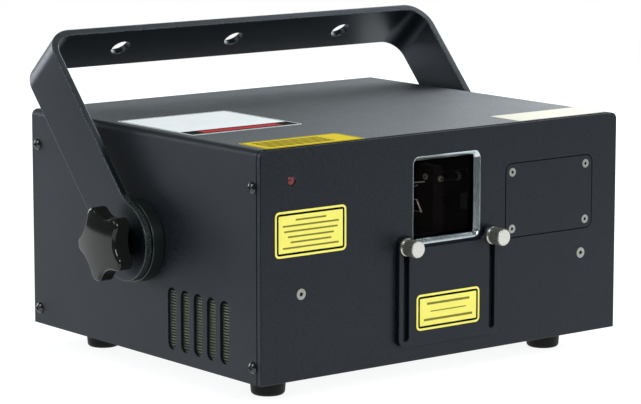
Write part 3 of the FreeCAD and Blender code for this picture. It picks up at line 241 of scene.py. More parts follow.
skins = {
    # anodised blocks: dead black so that the window stays dark
    "blackAluminium": ("blackAnodisedAluminium", {
        "dark": "#050405", "pale": "#0b0908", "roughness": 0.4,
        "pitch": 0.7, "depth": 0.1, "specular": 0.3}),
    # button screws: oiled black with small bright glints; also painted shade in screw sockets, knurl
    # grooves and recesses
    "blackOxideAndShade": ("blackOxideSteelAndShade", {
        "dark": "#08090a", "pale": "#101214", "roughness": 0.16,
        "pitch": 0.6, "depth": 0.08, "specular": 0.8}),
    # feet: soft black with a dull sheen
    "footRubber": ("mouldedRubber", {
        "dark": "#080a08", "pale": "#101210", "roughness": 0.55,
        "pitch": 1.2, "depth": 0.25, "specular": 0.2}),
    # star knobs: polished black that mirrors the pale floor
    "knobPlastic": ("glossyMouldedPlastic", {
        "dark": "#131412", "pale": "#191a17", "roughness": 0.1,
        "pitch": 8.0, "depth": 0.05, "specular": 0.38}),
    # discs: dark greenish moulding with a satin rim
    "discPlastic": ("satinMouldedPlastic", {
        "dark": "#0a100e", "pale": "#151d1a", "roughness": 0.33,
        "pitch": 0.9, "depth": 0.12, "specular": 0.6}),
    # fans, sockets and lamp holder: matt black with a fine grain
    "blackPlastic": ("mattMouldedPlastic", {
        "dark": "#0c0d0e", "pale": "#151618", "roughness": 0.46,
        "pitch": 0.9, "depth": 0.2, "specular": 0.5}),
    # screens: painted wire with an olive cast
    "screenWire": ("paintedWireScreen", {
        "dark": "#868d7c", "pale": "#b4bca8", "roughness": 0.45,
        "pitch": 0.6, "depth": 0.2, "specular": 0.5}),
    # boards: satin green lacquer
    "boardResist": ("greenSolderResist", {
        "dark": "#0d3322", "pale": "#154a30", "roughness": 0.35,
        "pitch": 2.0, "depth": 0.1, "specular": 0.5}),
    # lamp: unlit red lens, deep and a little cloudy
    "lampLens": ("redLampLens", {
        "dark": "#5c1c20", "pale": "#742a2d", "roughness": 0.25,
        "pitch": 1.0, "depth": 0.1, "specular": 0.5}),
    # stickers: printed vinyl, slightly creased
    "yellowVinyl": ("yellowVinyl", {
        "dark": "#efe05a", "pale": "#f8ec74", "roughness": 0.42,
        "pitch": 9.0, "depth": 0.12, "specular": 0.4}),
    "deepYellowVinyl": ("deepYellowVinyl", {
        "dark": "#c6ad07", "pale": "#d3bc12", "roughness": 0.7,
        "pitch": 9.0, "depth": 0.12, "specular": 0.05}),
    "whiteVinyl": ("whiteVinyl", {
        "dark": "#dcdede", "pale": "#e8eaea", "roughness": 0.4,
        "pitch": 12.0, "depth": 0.12, "specular": 0.4}),
    "creamVinyl": ("creamVinyl", {
        "dark": "#c6bfa8", "pale": "#d0c9b2", "roughness": 0.42,
        "pitch": 9.0, "depth": 0.12, "specular": 0.4}),
    # inks: flat print with little shine
    "stickerInk": ("blackPrintedInk", {
        "dark": "#0d0d09", "pale": "#171711", "roughness": 0.8,
        "pitch": 1.5, "depth": 0.1, "specular": 0.02}),
    "fadedInk": ("thinPrintedInk", {
        "dark": "#6f6a2c", "pale": "#837d36", "roughness": 0.6,
        "pitch": 1.5, "depth": 0.1, "specular": 0.2}),
    "redInk": ("redPrintedInk", {
        "dark": "#a01820", "pale": "#b8242c", "roughness": 0.7,
        "pitch": 1.5, "depth": 0.1, "specular": 0.05}),
    # seam shadow: painted shade, dead black on the plate's top edge where the seam under the cover lies in
    # shadow
    "seamShadowBlack": ("paintedSeamShadow", {
        "dark": "#020202", "pale": "#060606", "roughness": 0.9,
        "pitch": 0.8, "depth": 0.2, "specular": 0.02}),
    # clamp edges and strip in the window: painted highlight, a clear white line for glints
    "glintWhite": ("paintedGlintEdge", {
        "dark": "#f4f6f6", "pale": "#fdfefe", "roughness": 0.5,
        "pitch": 0.8, "depth": 0.1, "specular": 0.5}),
}
finishes = {key: powderCoat(*value) for key, value in coats.items()}
finishes.update({key: toolMarkedMetal(*value) for key, value in metals.items()})
finishes.update({key: mouldedSkin(*value) for key, value in skins.items()})

# coated beam window: nearly no mirror image, a faint brown cast
coatedGlass = {"colour": "#eee4e0", "ior": 1.05, "smear": 20.0, "detail": 3.0, "haze": 0.05}
glass, glassTree, glassShader = newMaterial("coatedWindowGlass", {
    "Base Color": linearColour(coatedGlass["colour"]), "IOR": coatedGlass["ior"],
    "Transmission Weight": 1.0})
glassPlace = addNode(glassTree, "ShaderNodeTexCoord")
smear = addNode(glassTree, "ShaderNodeTexNoise",
                {"Scale": 1 / (coatedGlass["smear"] * mm), "Detail": coatedGlass["detail"]},
                {"Vector": glassPlace.outputs["Object"]})
smearRough = addNode(glassTree, "ShaderNodeMapRange", {"To Min": 0.0, "To Max": coatedGlass["haze"]},
                     {"Value": smear.outputs["Fac"]})
glassTree.links.new(smearRough.outputs["Result"], glassShader.inputs["Roughness"])
finishes["windowGlass"] = glass
print("finishes made:", len(finishes))

nodeFinish = {
    "caseCoat": ["top_cover", "rear_panel"],
    "frontCoat": ["front_panel", "access_plate", "mask_plate"],
    "bracketCoat": ["bracket"],
    "milledAluminium": ["aperture_frame"],
    "plainAluminium": ["base_plate", "corner_posts", "panel_brackets", "pivot_plate_left",
                       "pivot_plate_right", "bench_posts", "power_supply"],
    "blackAluminium": ["window_clamp", "optical_bench", "blue_laser_module", "green_laser_module",
                       "red_laser_module", "optic_mounts", "scanner_block", "galvo_motor_x",
                       "galvo_motor_y"],
    "nickel": ["thumb_screw_left", "thumb_screw_right", "key"],
    "portShell": ["lock_switch", "control_ports"],
    "zincSteel": ["front_panel_screws", "foot_screws", "access_plate_screws", "knob_stud_left",
                  "knob_stud_right"],
    "blackOxideAndShade": ["cover_screws", "rear_panel_screws", "safety_eye"],
    "footRubber": ["feet"],
    "knobPlastic": ["knob_left", "knob_right"],
    "discPlastic": ["friction_disc_left", "friction_disc_right"],
    "blackPlastic": ["lamp_holder", "fan_frames", "fan_rotor_left", "fan_rotor_right", "power_sockets",
                     "data_sockets"],
    "screenWire": ["vent_screen_left", "vent_screen_right"],
    "windowGlass": ["window_glass"],
    "lampLens": ["emission_lamp"],
    "brass": ["thumb_inserts", "pivot_nuts"],
    "mirrorCoat": ["combiner_optics", "scan_mirror_x", "scan_mirror_y"],
    "boardResist": ["scanner_driver", "control_board", "laser_driver"],
    "steelWire": ["fan_guards"],
}
for finish, names in nodeFinish.items():
    for name in names:
        nodes[name].data.materials.clear()
        nodes[name].data.materials.append(finishes[finish])
print("node finishes set")


def focus(piece):
    bpy.ops.object.select_all(action="DESELECT")
    piece.select_set(True)
    bpy.context.view_layer.objects.active = piece


def applyModifier(piece, kind, settings):
    modifier = piece.modifiers.new(kind.lower(), kind)
    for key, value in settings.items():
        setattr(modifier, key, value)
    focus(piece)
    bpy.ops.object.modifier_apply(modifier=modifier.name)


def bevelEdges(piece, width, settings):
    applyModifier(piece, "BEVEL", {"width": width * mm, "segments": bevelSteps, **settings})


# merge distance in millimetres, angles in degrees
soften = {"merge": 0.0005, "flat": 0.3, "sharp": 40, "smooth": 50}


# a node's own form with merged faces, softened edges and smooth rounds
def softenNode(nodeName, width, edgeFinish=None):
    piece = bpy.data.objects.new("soft_" + nodeName, nodes[nodeName].data.copy())
    bpy.context.collection.objects.link(piece)
    focus(piece)
    bpy.ops.object.mode_set(mode="EDIT")
    bpy.ops.mesh.select_all(action="SELECT")
    bpy.ops.mesh.remove_doubles(threshold=soften["merge"] * mm)
    bpy.ops.mesh.dissolve_limited(angle_limit=math.radians(soften["flat"]))
    bpy.ops.object.mode_set(mode="OBJECT")
    if edgeFinish:
        piece.data.materials.append(finishes[edgeFinish])
    if width:
        bevelEdges(piece, width, {"limit_method": "ANGLE", "angle_limit": math.radians(soften["sharp"]),
                                  "use_clamp_overlap": False, "material": 1 if edgeFinish else -1})
    focus(piece)
    bpy.ops.object.shade_smooth_by_angle(angle=math.radians(soften["smooth"]))
    applyModifier(piece, "WEIGHTED_NORMAL", {"keep_sharp": True})
    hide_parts(nodeName)
    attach(piece, nodeBody[nodeName])
    return piece


# gives the faces that pass a test a finish of their own
def paintFaces(piece, finish, passes):
    piece.data.materials.append(finishes[finish])
    for face in piece.data.polygons:
        if passes(face):
            face.material_index = len(piece.data.materials) - 1


# edge widths in millimetres, 0 where only the rounds are smoothed
softEdges = {
    "top_cover": 0, "rear_panel": 0.3, "front_panel": 0.4, "access_plate": 0.25, "mask_plate": 0.45,
    "aperture_frame": 0, "bracket": 0.7, "friction_disc_left": 0.6, "friction_disc_right": 0.6,
    "knob_left": 0, "knob_right": 0, "feet": 0, "front_panel_screws": 0.15, "access_plate_screws": 0.12,
    "safety_eye": 0.3, "lock_switch": 0.3, "key": 0.25, "power_sockets": 0.2, "data_sockets": 0.2,
    "control_ports": 0.2, "fan_frames": 0.3, "fan_guards": 0.3,
}
# reach of the eyes' painted-highlight rims from the pivot, depth past which the screw recesses get painted
# shade, and depth of the plate's painted seam shadow
ownFinish = {"eyeRim": (15.0, 31.0), "recess": 0.25, "seamShadeDepth": 0.2}
for nodeName, width in softEdges.items():
    # the bracket's bevel faces take the pale painted-highlight coat
    piece = softenNode(nodeName, width, "edgeHighlightCoat" if nodeName == "bracket" else None)
    if nodeName == "bracket":
        knobLow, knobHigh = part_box("knob_left")
        pivot = (knobLow + knobHigh) / 2
        inner, outer = [reach * mm for reach in ownFinish["eyeRim"]]
        # the eye rims take the painted-highlight dots
        paintFaces(piece, "eyeRimHighlightCoat", lambda face: abs(face.normal.x) < sideways and
                   inner < (face.center - pivot).yz.length < outer)
    if nodeName in ("front_panel_screws", "access_plate_screws"):
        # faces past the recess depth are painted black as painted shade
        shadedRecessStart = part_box(nodeName)[0].y + ownFinish["recess"] * mm
        paintFaces(piece, "blackOxideAndShade", lambda face: face.center.y > shadedRecessStart)
    if nodeName == "front_panel":
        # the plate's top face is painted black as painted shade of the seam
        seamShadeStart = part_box(nodeName)[1].z - ownFinish["seamShadeDepth"] * mm
        paintFaces(piece, "seamShadowBlack", lambda face: face.normal.z > facing and face.center.z > seamShadeStart)
print("soft edged pieces:", len(softEdges))

# turns that lay a piece modelled along +Z onto each face of the case, or leave it as it is
faceTurn = {
    "front": (quarter, 0, 0),
    "left": (quarter, 0, -quarter),
    "right": (quarter, 0, quarter),
    "rear": (quarter, 0, 2 * quarter),
    "top": (0, 0, 0),
    "inside": (0, 0, 0),
}


# names a piece, lays it in its place and gives it its body
def settle(piece, name, face, place, body):
    piece.name = name
    piece.data.name = name
    piece.rotation_euler = faceTurn[face]
    piece.location = place
    focus(piece)
    bpy.ops.object.transform_apply(location=True, rotation=True, scale=True)
    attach(piece, body)
    return piece


# a copy with a mesh of its own
def copyOf(piece):
    twin = bpy.data.objects.new(piece.name, piece.data.copy())
    bpy.context.collection.objects.link(twin)
    return twin


# selects faces whose middle lies at a given height
def facesAt(piece, height):
    bpy.ops.mesh.select_all(action="DESELECT")
    bpy.ops.object.mode_set(mode="OBJECT")
    for face in piece.data.polygons:
        face.select = abs(face.center.z - height) < touch
    bpy.ops.object.mode_set(mode="EDIT")
    bpy.ops.mesh.select_mode(type="FACE")


# a flat disc in edit mode, all of it selected
def startDisc(sides, radius, height=0.0):
    bpy.ops.object.select_all(action="DESELECT")
    bpy.ops.mesh.primitive_circle_add(vertices=sides, radius=radius * mm, fill_type="NGON",
                                      location=(0, 0, height * mm))
    bpy.ops.object.mode_set(mode="EDIT")
    bpy.ops.mesh.select_all(action="SELECT")
    return bpy.context.object


def raiseFace(rise, scale=1.0):
    bpy.ops.mesh.extrude_region_move(TRANSFORM_OT_translate={"value": (0, 0, rise * mm)})
    if scale != 1.0:
        bpy.ops.transform.resize(value=(scale, scale, 1))


# raises the selected face through rings of a radius and a height each
def raiseRings(rings):
    for (radius, height), (nextRadius, nextHeight) in zip(rings, rings[1:]):
        raiseFace(nextHeight - height, nextRadius / radius)


# even turns from a dome's foot towards its pole
def ringTurns(count):
    return [quarter * step / (count + 1) for step in range(count + 1)]


# back to object mode with the faces turned outwards and, where asked, rounds shaded smooth
def closeShape(smooth=None):
    bpy.ops.mesh.select_all(action="SELECT")
    bpy.ops.mesh.normals_make_consistent(inside=False)
    bpy.ops.object.mode_set(mode="OBJECT")
    if smooth:
        bpy.ops.object.shade_smooth_by_angle(angle=math.radians(smooth))


# thumb screws: bright collar, neck, straight knurl drawn coarse enough to show, chamfered flat face
thumb = {"ridges": 26, "ridgePoints": 4, "collar": 5.75, "collarLength": 1.3, "lip": 0.4, "neck": 4.8,
         "neckLength": 1.0, "body": 5.6, "root": 0.92, "face": 5.0, "chamfer": 0.5, "faceRim": 0.3,
         "shank": 1.9, "shankLength": 11.0, "slack": 0.1, "grooveShadeShare": 0.99, "smooth": 18}
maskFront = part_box("mask_plate")[0].y
thumbLength = (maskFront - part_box("thumb_screw_left")[0].y) / mm
knurlStart = thumb["collarLength"] + thumb["neckLength"]
thumbScrew = startDisc(thumb["ridgePoints"] * thumb["ridges"], thumb["collar"])
raiseFace(thumb["collarLength"] - thumb["lip"])
raiseFace(thumb["lip"], 1 - thumb["lip"] / thumb["collar"])
raiseFace(0, thumb["neck"] / (thumb["collar"] - thumb["lip"]))
raiseFace(thumb["neckLength"])
raiseFace(0, thumb["body"] / thumb["neck"])
raiseFace(thumbLength - knurlStart - thumb["chamfer"])
raiseFace(thumb["chamfer"], thumb["face"] / thumb["body"])
bpy.ops.mesh.inset(thickness=thumb["faceRim"] * mm, depth=0.0)
facesAt(thumbScrew, 0.0)
bpy.ops.mesh.inset(thickness=(thumb["collar"] - thumb["shank"]) * mm, depth=0.0)
raiseFace(-thumb["shankLength"])
bpy.ops.mesh.select_all(action="DESELECT")
bpy.ops.object.mode_set(mode="OBJECT")
pointTurn = 4 * quarter / (thumb["ridgePoints"] * thumb["ridges"])
for point in thumbScrew.data.vertices:
    step = round(math.atan2(point.co.y, point.co.x) / pointTurn)
    inGroove = step % thumb["ridgePoints"] >= thumb["ridgePoints"] / 2
    onBody = point.co.xy.length > (thumb["body"] - thumb["slack"]) * mm
    onKnurl = point.co.z > (knurlStart - thumb["slack"]) * mm
    point.select = inGroove and onBody and onKnurl
bpy.ops.object.mode_set(mode="EDIT")
bpy.ops.mesh.select_mode(type="VERT")
bpy.ops.transform.resize(value=(thumb["root"], thumb["root"], 1), center_override=(0, 0, 0))
closeShape(thumb["smooth"])
for finish in ("nickel", "knurledNickel", "blackOxideAndShade"):
    thumbScrew.data.materials.append(finishes[finish])
# ridges keep the plating, the grooves between them are painted black as painted shade
grooveShadeReach = (1 + thumb["root"]) / 2 * thumb["body"] * thumb["grooveShadeShare"] * mm
for face in thumbScrew.data.polygons:
    if abs(face.normal.z) < sideways and face.center.z > knurlStart * mm:
        face.material_index = 2 if face.center.xy.length < grooveShadeReach else 1
for side in ("left", "right"):
    nodeName = "thumb_screw_" + side
    low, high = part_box(nodeName)
    seat = Vector(((low.x + high.x) / 2, maskFront, (low.z + high.z) / 2))
    screw = settle(copyOf(thumbScrew), "knurled_" + nodeName, "front", seat, nodeBody[nodeName])
    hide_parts(nodeName)
bpy.data.objects.remove(thumbScrew)
print("thumb screws made")

# button screws: domed black heads with a cross recess
button = {"radius": 3.9, "height": 2.3, "rim": 0.35, "rings": 6, "crossWidth": 1.05, "crossLength": 4.3,
          "crossDepth": 1.5, "sides": 40, "edge": 0.12, "sharp": 42, "smooth": 32}
head = startDisc(button["sides"], button["radius"])
raiseFace(button["rim"])
domeRise = button["height"] - button["rim"]
domeRound = (button["radius"] ** 2 + domeRise ** 2) / (2 * domeRise)
ringRadii = [button["radius"] * math.cos(turned) for turned in ringTurns(button["rings"])]
raiseRings([(radius, math.sqrt(domeRound ** 2 - radius ** 2) - (domeRound - domeRise))
            for radius in ringRadii])
closeShape()
# the two blades of the cross, half of each above the head
for turned in (0, quarter):
    bpy.ops.object.select_all(action="DESELECT")
    bpy.ops.mesh.primitive_cube_add(size=1, location=(0, 0, button["height"] * mm), rotation=(0, 0, turned))
    blade = bpy.context.object
    blade.scale = (button["crossLength"] * mm, button["crossWidth"] * mm, 2 * button["crossDepth"] * mm)
    bpy.ops.object.transform_apply(location=True, rotation=True, scale=True)
    applyModifier(head, "BOOLEAN", {"operation": "DIFFERENCE", "object": blade, "solver": "EXACT"})
    bpy.data.objects.remove(blade)
bevelEdges(head, button["edge"], {"limit_method": "ANGLE", "angle_limit": math.radians(button["sharp"]),
                                  "use_clamp_overlap": True})
focus(head)
bpy.ops.object.shade_smooth_by_angle(angle=math.radians(button["smooth"]))
head.data.materials.clear()
head.data.materials.append(finishes["blackOxideAndShade"])


def setHeads(nodeName, places):
    copies = [settle(copyOf(head), "head_" + nodeName, face, place, "case") for face, place in places]
    bpy.ops.object.select_all(action="DESELECT")
    for copy in copies:
        copy.select_set(True)
    bpy.context.view_layer.objects.active = copies[0]
    bpy.ops.object.join()
    joined = bpy.context.object
    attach(joined, "case")
    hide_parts(nodeName)


low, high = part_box("cover_screws")
inset = button["radius"] * mm
coverPlaces = []
for y in (low.y + inset, high.y - inset):
    for z in (low.z + inset, high.z - inset):
        coverPlaces.append(("left", (low.x + button["height"] * mm, y, z)))
        coverPlaces.append(("right", (high.x - button["height"] * mm, y, z)))
setHeads("cover_screws", coverPlaces)
low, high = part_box("rear_panel_screws")
rearPlaces = []
for x in (low.x + inset, high.x - inset):
    for z in (low.z + inset, high.z - inset):
        rearPlaces.append(("rear", (x, high.y - button["height"] * mm, z)))
setHeads("rear_panel_screws", rearPlaces)
bpy.data.objects.remove(head)
print("button screws made")

# vent screens: level wires between two end rails, a little coarser than real so that they show
screen = {"sides": 8, "wire": 0.8, "pitch": 1.85, "setBack": 0.7, "rail": 1.4, "smooth": 50}
low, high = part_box("vent_screen_left")
screenLong, screenTall = high.y - low.y, high.z - low.z
bpy.ops.object.select_all(action="DESELECT")
bpy.ops.mesh.primitive_cylinder_add(vertices=screen["sides"], radius=screen["wire"] / 2 * mm,
                                    depth=screenLong, rotation=(quarter, 0, 0),
                                    location=(0, 0, (screen["pitch"] * mm - screenTall) / 2))
screenWires = bpy.context.object
bpy.ops.object.transform_apply(location=True, rotation=True, scale=True)
applyModifier(screenWires, "ARRAY", {"count": int(screenTall / (screen["pitch"] * mm)),
                                     "use_relative_offset": False, "use_constant_offset": True,
                                     "constant_offset_displace": (0, 0, screen["pitch"] * mm)})
bpy.ops.object.mode_set(mode="EDIT")
railReach = (screenLong - screen["rail"] * mm) / 2
for railY in (-railReach, railReach):
    bpy.ops.mesh.primitive_cube_add(size=mm, location=(0, railY, 0))
    bpy.ops.transform.resize(value=(screen["rail"], screen["rail"], screenTall / mm))
bpy.ops.object.mode_set(mode="OBJECT")
bpy.ops.object.shade_smooth_by_angle(angle=math.radians(screen["smooth"]))
screenWires.data.materials.append(finishes["screenWire"])
for side, inward in (("left", 1), ("right", -1)):
    nodeName = "vent_screen_" + side
    low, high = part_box(nodeName)
    place = (low + high) / 2 + Vector((inward * screen["setBack"] * mm, 0, 0))
    wires = settle(copyOf(screenWires), "wires_" + nodeName, "inside", place, nodeBody[nodeName])
    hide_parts(nodeName)
bpy.data.objects.remove(screenWires)
print("vent screens made")

# red lamp: low domed lens set back in a gloss collar
lamp = {"sides": 36, "dome": 0.7, "length": 3.0, "rings": 4, "collar": 0.4, "setBack": 1.0, "flare": 0.3,
        "lensSmooth": 40, "collarSmooth": 30}
low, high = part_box("emission_lamp")
lampRadius = (high.x - low.x) / 2 / mm
lensRadius = lampRadius - lamp["collar"]
lampPlace = Vector(((low.x + high.x) / 2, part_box("front_panel")[0].y, (low.z + high.z) / 2))
lens = startDisc(lamp["sides"], lensRadius)
raiseFace(lamp["length"])
raiseRings([(math.cos(turned), lamp["dome"] * math.sin(turned)) for turned in ringTurns(lamp["rings"])])
closeShape(lamp["lensSmooth"])
lens.data.materials.append(finishes["lampLens"])
lensPlace = lampPlace + Vector((0, (lamp["length"] + lamp["setBack"]) * mm, 0))
settle(lens, "lampLens", "front", lensPlace, "case")
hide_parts("emission_lamp")
# the collar: a tube with a flared mouth, its floor taken out and its foot bridged
collar = startDisc(lamp["sides"], lampRadius)
raiseFace(lamp["length"])
bpy.ops.mesh.inset(thickness=(lamp["collar"] - lamp["flare"]) * mm, depth=0.0)
raiseFace(-lamp["flare"], lensRadius / (lensRadius + lamp["flare"]))
raiseFace(-lamp["length"] + lamp["flare"])
bpy.ops.mesh.delete(type="FACE")
bpy.ops.object.mode_set(mode="OBJECT")
for face in collar.data.polygons:
    face.select = face.normal.z < -facing
bpy.ops.object.mode_set(mode="EDIT")
bpy.ops.mesh.select_mode(type="FACE")
bpy.ops.mesh.delete(type="FACE")
bpy.ops.mesh.select_all(action="DESELECT")
bpy.ops.mesh.select_mode(type="EDGE")
bpy.ops.object.mode_set(mode="OBJECT")
for edge in collar.data.edges:
    ends = [collar.data.vertices[index].co for index in edge.vertices]
    edge.select = max(abs(end.z) for end in ends) < touch
bpy.ops.object.mode_set(mode="EDIT")
bpy.ops.mesh.bridge_edge_loops()
closeShape(lamp["collarSmooth"])
collar.data.materials.append(finishes["blackOxideAndShade"])
settle(collar, "lampCollar", "front", lampPlace + Vector((0, lamp["length"] * mm, 0)), "case")
print("lamp made")

# stickers: thin blank vinyl with rounded corners, a printed keyline and plain ruled lines
vinyl = {"thickness": 0.15, "print": 0.04, "cornerSteps": 5}


def sticker(name, label):
    width, height = label["size"]
    bpy.ops.object.select_all(action="DESELECT")
    bpy.ops.mesh.primitive_plane_add(size=mm)
    sheet = bpy.context.object
    for finish in label["finishes"]:
        sheet.data.materials.append(finishes[finish])
    bpy.ops.object.mode_set(mode="EDIT")
    bpy.ops.mesh.select_all(action="SELECT")
    bpy.ops.transform.resize(value=(width, height, 1))
    bpy.ops.mesh.bevel(offset=label["corner"] * mm, segments=vinyl["cornerSteps"], affect="VERTICES")
    bpy.ops.mesh.select_all(action="SELECT")
    for step, slotIndex in label["bands"]:
        bpy.ops.mesh.inset(thickness=step * mm, depth=0.0)
        sheet.active_material_index = slotIndex
        bpy.ops.object.material_slot_assign()
    bpy.ops.object.mode_set(mode="OBJECT")
    applyModifier(sheet, "SOLIDIFY", {"thickness": vinyl["thickness"] * mm, "offset": 1.0})
    bpy.ops.object.mode_set(mode="EDIT")
    # a later finish prints a little higher, so that it shows on an earlier one
    for x, y, lineWidth, lineHeight, slotIndex in label["lines"]:
        bpy.ops.mesh.primitive_cube_add(size=mm, location=(x * mm, y * mm, vinyl["thickness"] * mm))
        bpy.ops.transform.resize(value=(lineWidth, lineHeight, vinyl["print"] * slotIndex))
        sheet.active_material_index = slotIndex
        bpy.ops.object.material_slot_assign()
    bpy.ops.object.mode_set(mode="OBJECT")
    settle(sheet, name, label["face"], label["place"], label["body"])


# level lines below each other, as a place, a width, a height and a finish each
def ruledLines(x, top, pitch, widths, height, slotIndex):
    return [(x, top - pitch * row, width, height, slotIndex) for row, width in enumerate(widths)]


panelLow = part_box("front_panel")[0]
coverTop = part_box("top_cover")[1].z
frontY, caseFoot = panelLow.y, panelLow.z
# bands from the edge inwards, as a width and a finish each
wideKeyline = [(1.4, 1), (1.4, 0)]
thinKeyline = [(0.9, 1), (0.9, 0)]
labels = {
    "frontSticker": {
        "face": "front", "body": "case", "size": (56.1, 29.0), "corner": 3.2, "bands": wideKeyline,
        "finishes": ("yellowVinyl", "stickerInk", "fadedInk"),
        "place": (-110.95 * mm, frontY, caseFoot + 93.4 * mm),
        "lines": ruledLines(0, 8.6, 3.45, (24.0, 44.0, 42.0, 36.0, 32.0, 44.0), 1.1, 2)},
    "maskSticker": {
        "face": "front", "body": "mask", "size": (53.4, 23.5), "corner": 3.2, "bands": wideKeyline,
        "finishes": ("yellowVinyl", "stickerInk", "fadedInk"),
        "place": (-1.3 * mm, maskFront, caseFoot + 31.75 * mm),
        "lines": [(0, 5.2, 36.0, 1.5, 2), (0, 0.0, 30.0, 0.7, 2), (0, -5.2, 41.0, 1.5, 2)]},
    "topYellowSticker": {
        "face": "top", "body": "case", "size": (77.6, 30.8), "corner": 2.2, "bands": thinKeyline,
        "finishes": ("deepYellowVinyl", "stickerInk"),
        "place": (-102.2 * mm, frontY + 20.1 * mm, coverTop),
        "lines": ruledLines(-7.0, 8.4, 4.2, 5 * (52.0,), 2.0, 1)},
    "topWhiteSticker": {
        "face": "top", "body": "case", "size": (88.0, 86.0), "corner": 2.2, "bands": thinKeyline,
        "finishes": ("whiteVinyl", "stickerInk", "redInk"),
        "place": (-97.0 * mm, frontY + 125.5 * mm, coverTop),
        "lines": [(0, -33.5, 84.4, 14.0, 1), (0, -33.5, 62.0, 7.5, 2)]},
    "topCreamSticker": {
        "face": "top", "body": "case", "size": (76.0, 29.8), "corner": 1.0, "bands": [],
        "finishes": ("creamVinyl", "stickerInk"),
        "place": (106.0 * mm, frontY + 20.9 * mm, coverTop), "lines": []},
}
for name, label in labels.items():
    sticker(name, label)
print("stickers made:", len(labels))

# scanner fittings seen through the window: first a clamp whose edges are in painted highlight white
fitting = {"clampTop": 3.1, "clampBottom": 8.2, "clampTall": 7.9, "clampThick": 1.2, "edge": 0.28,
           "clampBack": 10.8, "clampRise": 22.6, "flank": 8.0,
           "stripLong": 11.0, "stripThick": 0.7, "stripEdge": 0.175, "stripBack": 14.0, "stripRise": 38.2,
           "stripTilt": 10.5}
blockLow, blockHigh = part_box("scanner_block")
flankLeft = blockHigh.x - fitting["flank"] * mm
bpy.ops.object.select_all(action="DESELECT")
bpy.ops.mesh.primitive_plane_add(size=mm)
clamp = bpy.context.object
clamp.data.materials.append(finishes["blackAluminium"])
clamp.data.materials.append(finishes["glintWhite"])
bpy.ops.object.mode_set(mode="EDIT")
bpy.ops.mesh.select_all(action="SELECT")
bpy.ops.transform.resize(value=(fitting["clampBottom"], fitting["clampTall"], 1))
bpy.ops.mesh.select_all(action="DESELECT")
bpy.ops.object.mode_set(mode="OBJECT")
for point in clamp.data.vertices:
    point.select = point.co.y > 0 and point.co.x > 0
bpy.ops.object.mode_set(mode="EDIT")
bpy.ops.mesh.select_mode(type="VERT")
bpy.ops.transform.translate(value=((fitting["clampTop"] - fitting["clampBottom"]) * mm, 0, 0))
bpy.ops.mesh.select_mode(type="FACE")
bpy.ops.mesh.select_all(action="SELECT")
raiseFace(fitting["clampThick"])
closeShape()
bevelEdges(clamp, fitting["edge"], {"limit_method": "ANGLE", "material": 1})
settle(clamp, "scannerClamp", "left",
       (flankLeft, blockLow.y + (fitting["clampBack"] + fitting["clampBottom"] / 2) * mm,
        blockLow.z + fitting["clampRise"] * mm), "case")

# strip above the clamp, all in painted highlight white
bpy.ops.object.select_all(action="DESELECT")
bpy.ops.mesh.primitive_cube_add(size=mm, location=(0, 0, fitting["clampThick"] / 2 * mm))
strip = bpy.context.object
strip.data.materials.append(finishes["glintWhite"])
bpy.ops.object.mode_set(mode="EDIT")
bpy.ops.mesh.select_all(action="SELECT")
bpy.ops.transform.resize(value=(fitting["stripLong"], fitting["stripThick"], fitting["clampThick"]))
bpy.ops.transform.rotate(value=-math.radians(fitting["stripTilt"]), orient_axis="Z",
                         center_override=(0, 0, 0))
bpy.ops.object.mode_set(mode="OBJECT")
bevelEdges(strip, fitting["stripEdge"], {})
bpy.ops.object.transform_apply(location=True, rotation=True, scale=True)
settle(strip, "scannerGlintStrip", "left",
       (flankLeft, blockLow.y + fitting["stripBack"] * mm, blockLow.z + fitting["stripRise"] * mm), "case")

# cap screws: turned rim and a round socket painted black as painted shade, modelled once, placed from the
# block's edges
capScrew = {"sides": 24, "radius": 2.0, "height": 1.7, "rim": 0.5, "socket": 1.15, "depth": 1.0,
            "socketShadeShare": 0.98, "smooth": 30, "sideBack": 7.4, "sideDrop": 7.3, "frontIn": 2.2,
            "frontDrop": 8.4}
cap = startDisc(capScrew["sides"], capScrew["radius"])
raiseFace(capScrew["height"] - capScrew["rim"])
raiseFace(capScrew["rim"], 1 - capScrew["rim"] / capScrew["radius"])
bpy.ops.mesh.inset(thickness=(capScrew["radius"] - capScrew["rim"] - capScrew["socket"]) * mm, depth=0.0)
bpy.ops.mesh.inset(thickness=0.0, depth=-capScrew["depth"] * mm)
closeShape(capScrew["smooth"])
cap.data.materials.append(finishes["capSteel"])
# the socket faces are painted black as painted shade
socketShadeReach = capScrew["socketShadeShare"] * capScrew["socket"] * mm
paintFaces(cap, "blackOxideAndShade", lambda face: face.center.xy.length < socketShadeReach)
capPlaces = {
    "scannerScrewSide": ("left", (flankLeft, blockLow.y + capScrew["sideBack"] * mm,
                                  blockHigh.z - capScrew["sideDrop"] * mm)),
    "scannerScrewFront": ("front", (blockHigh.x - capScrew["frontIn"] * mm, blockLow.y,
                                    blockHigh.z - capScrew["frontDrop"] * mm)),
}
for name, (face, place) in capPlaces.items():
    settle(copyOf(cap), name, face, place, "case")
bpy.data.objects.remove(cap)

# trim post: a black rod with a steel nut at its end
post = {"sides": 6, "rodSides": 24, "rod": 2.3, "length": 14.0, "nut": 3.0, "nutLength": 2.4, "bevel": 0.25,
        "smooth": 30, "back": 3.0, "drop": 8.6}
postPlace = (blockHigh.x, blockLow.y + post["back"] * mm, blockHigh.z - post["drop"] * mm)
rod = startDisc(post["rodSides"], post["rod"])
raiseFace(post["length"])
closeShape(post["smooth"])
rod.data.materials.append(finishes["blackAluminium"])
nut = startDisc(post["sides"], post["nut"], post["length"])
raiseFace(post["nutLength"])
closeShape()
bevelEdges(nut, post["bevel"], {})
nut.data.materials.append(finishes["capSteel"])
bpy.ops.object.transform_apply(location=True, rotation=True, scale=True)
settle(rod, "trimPost", "right", postPlace, "case")
settle(nut, "trimNut", "right", postPlace, "case")
print("scanner fittings made")

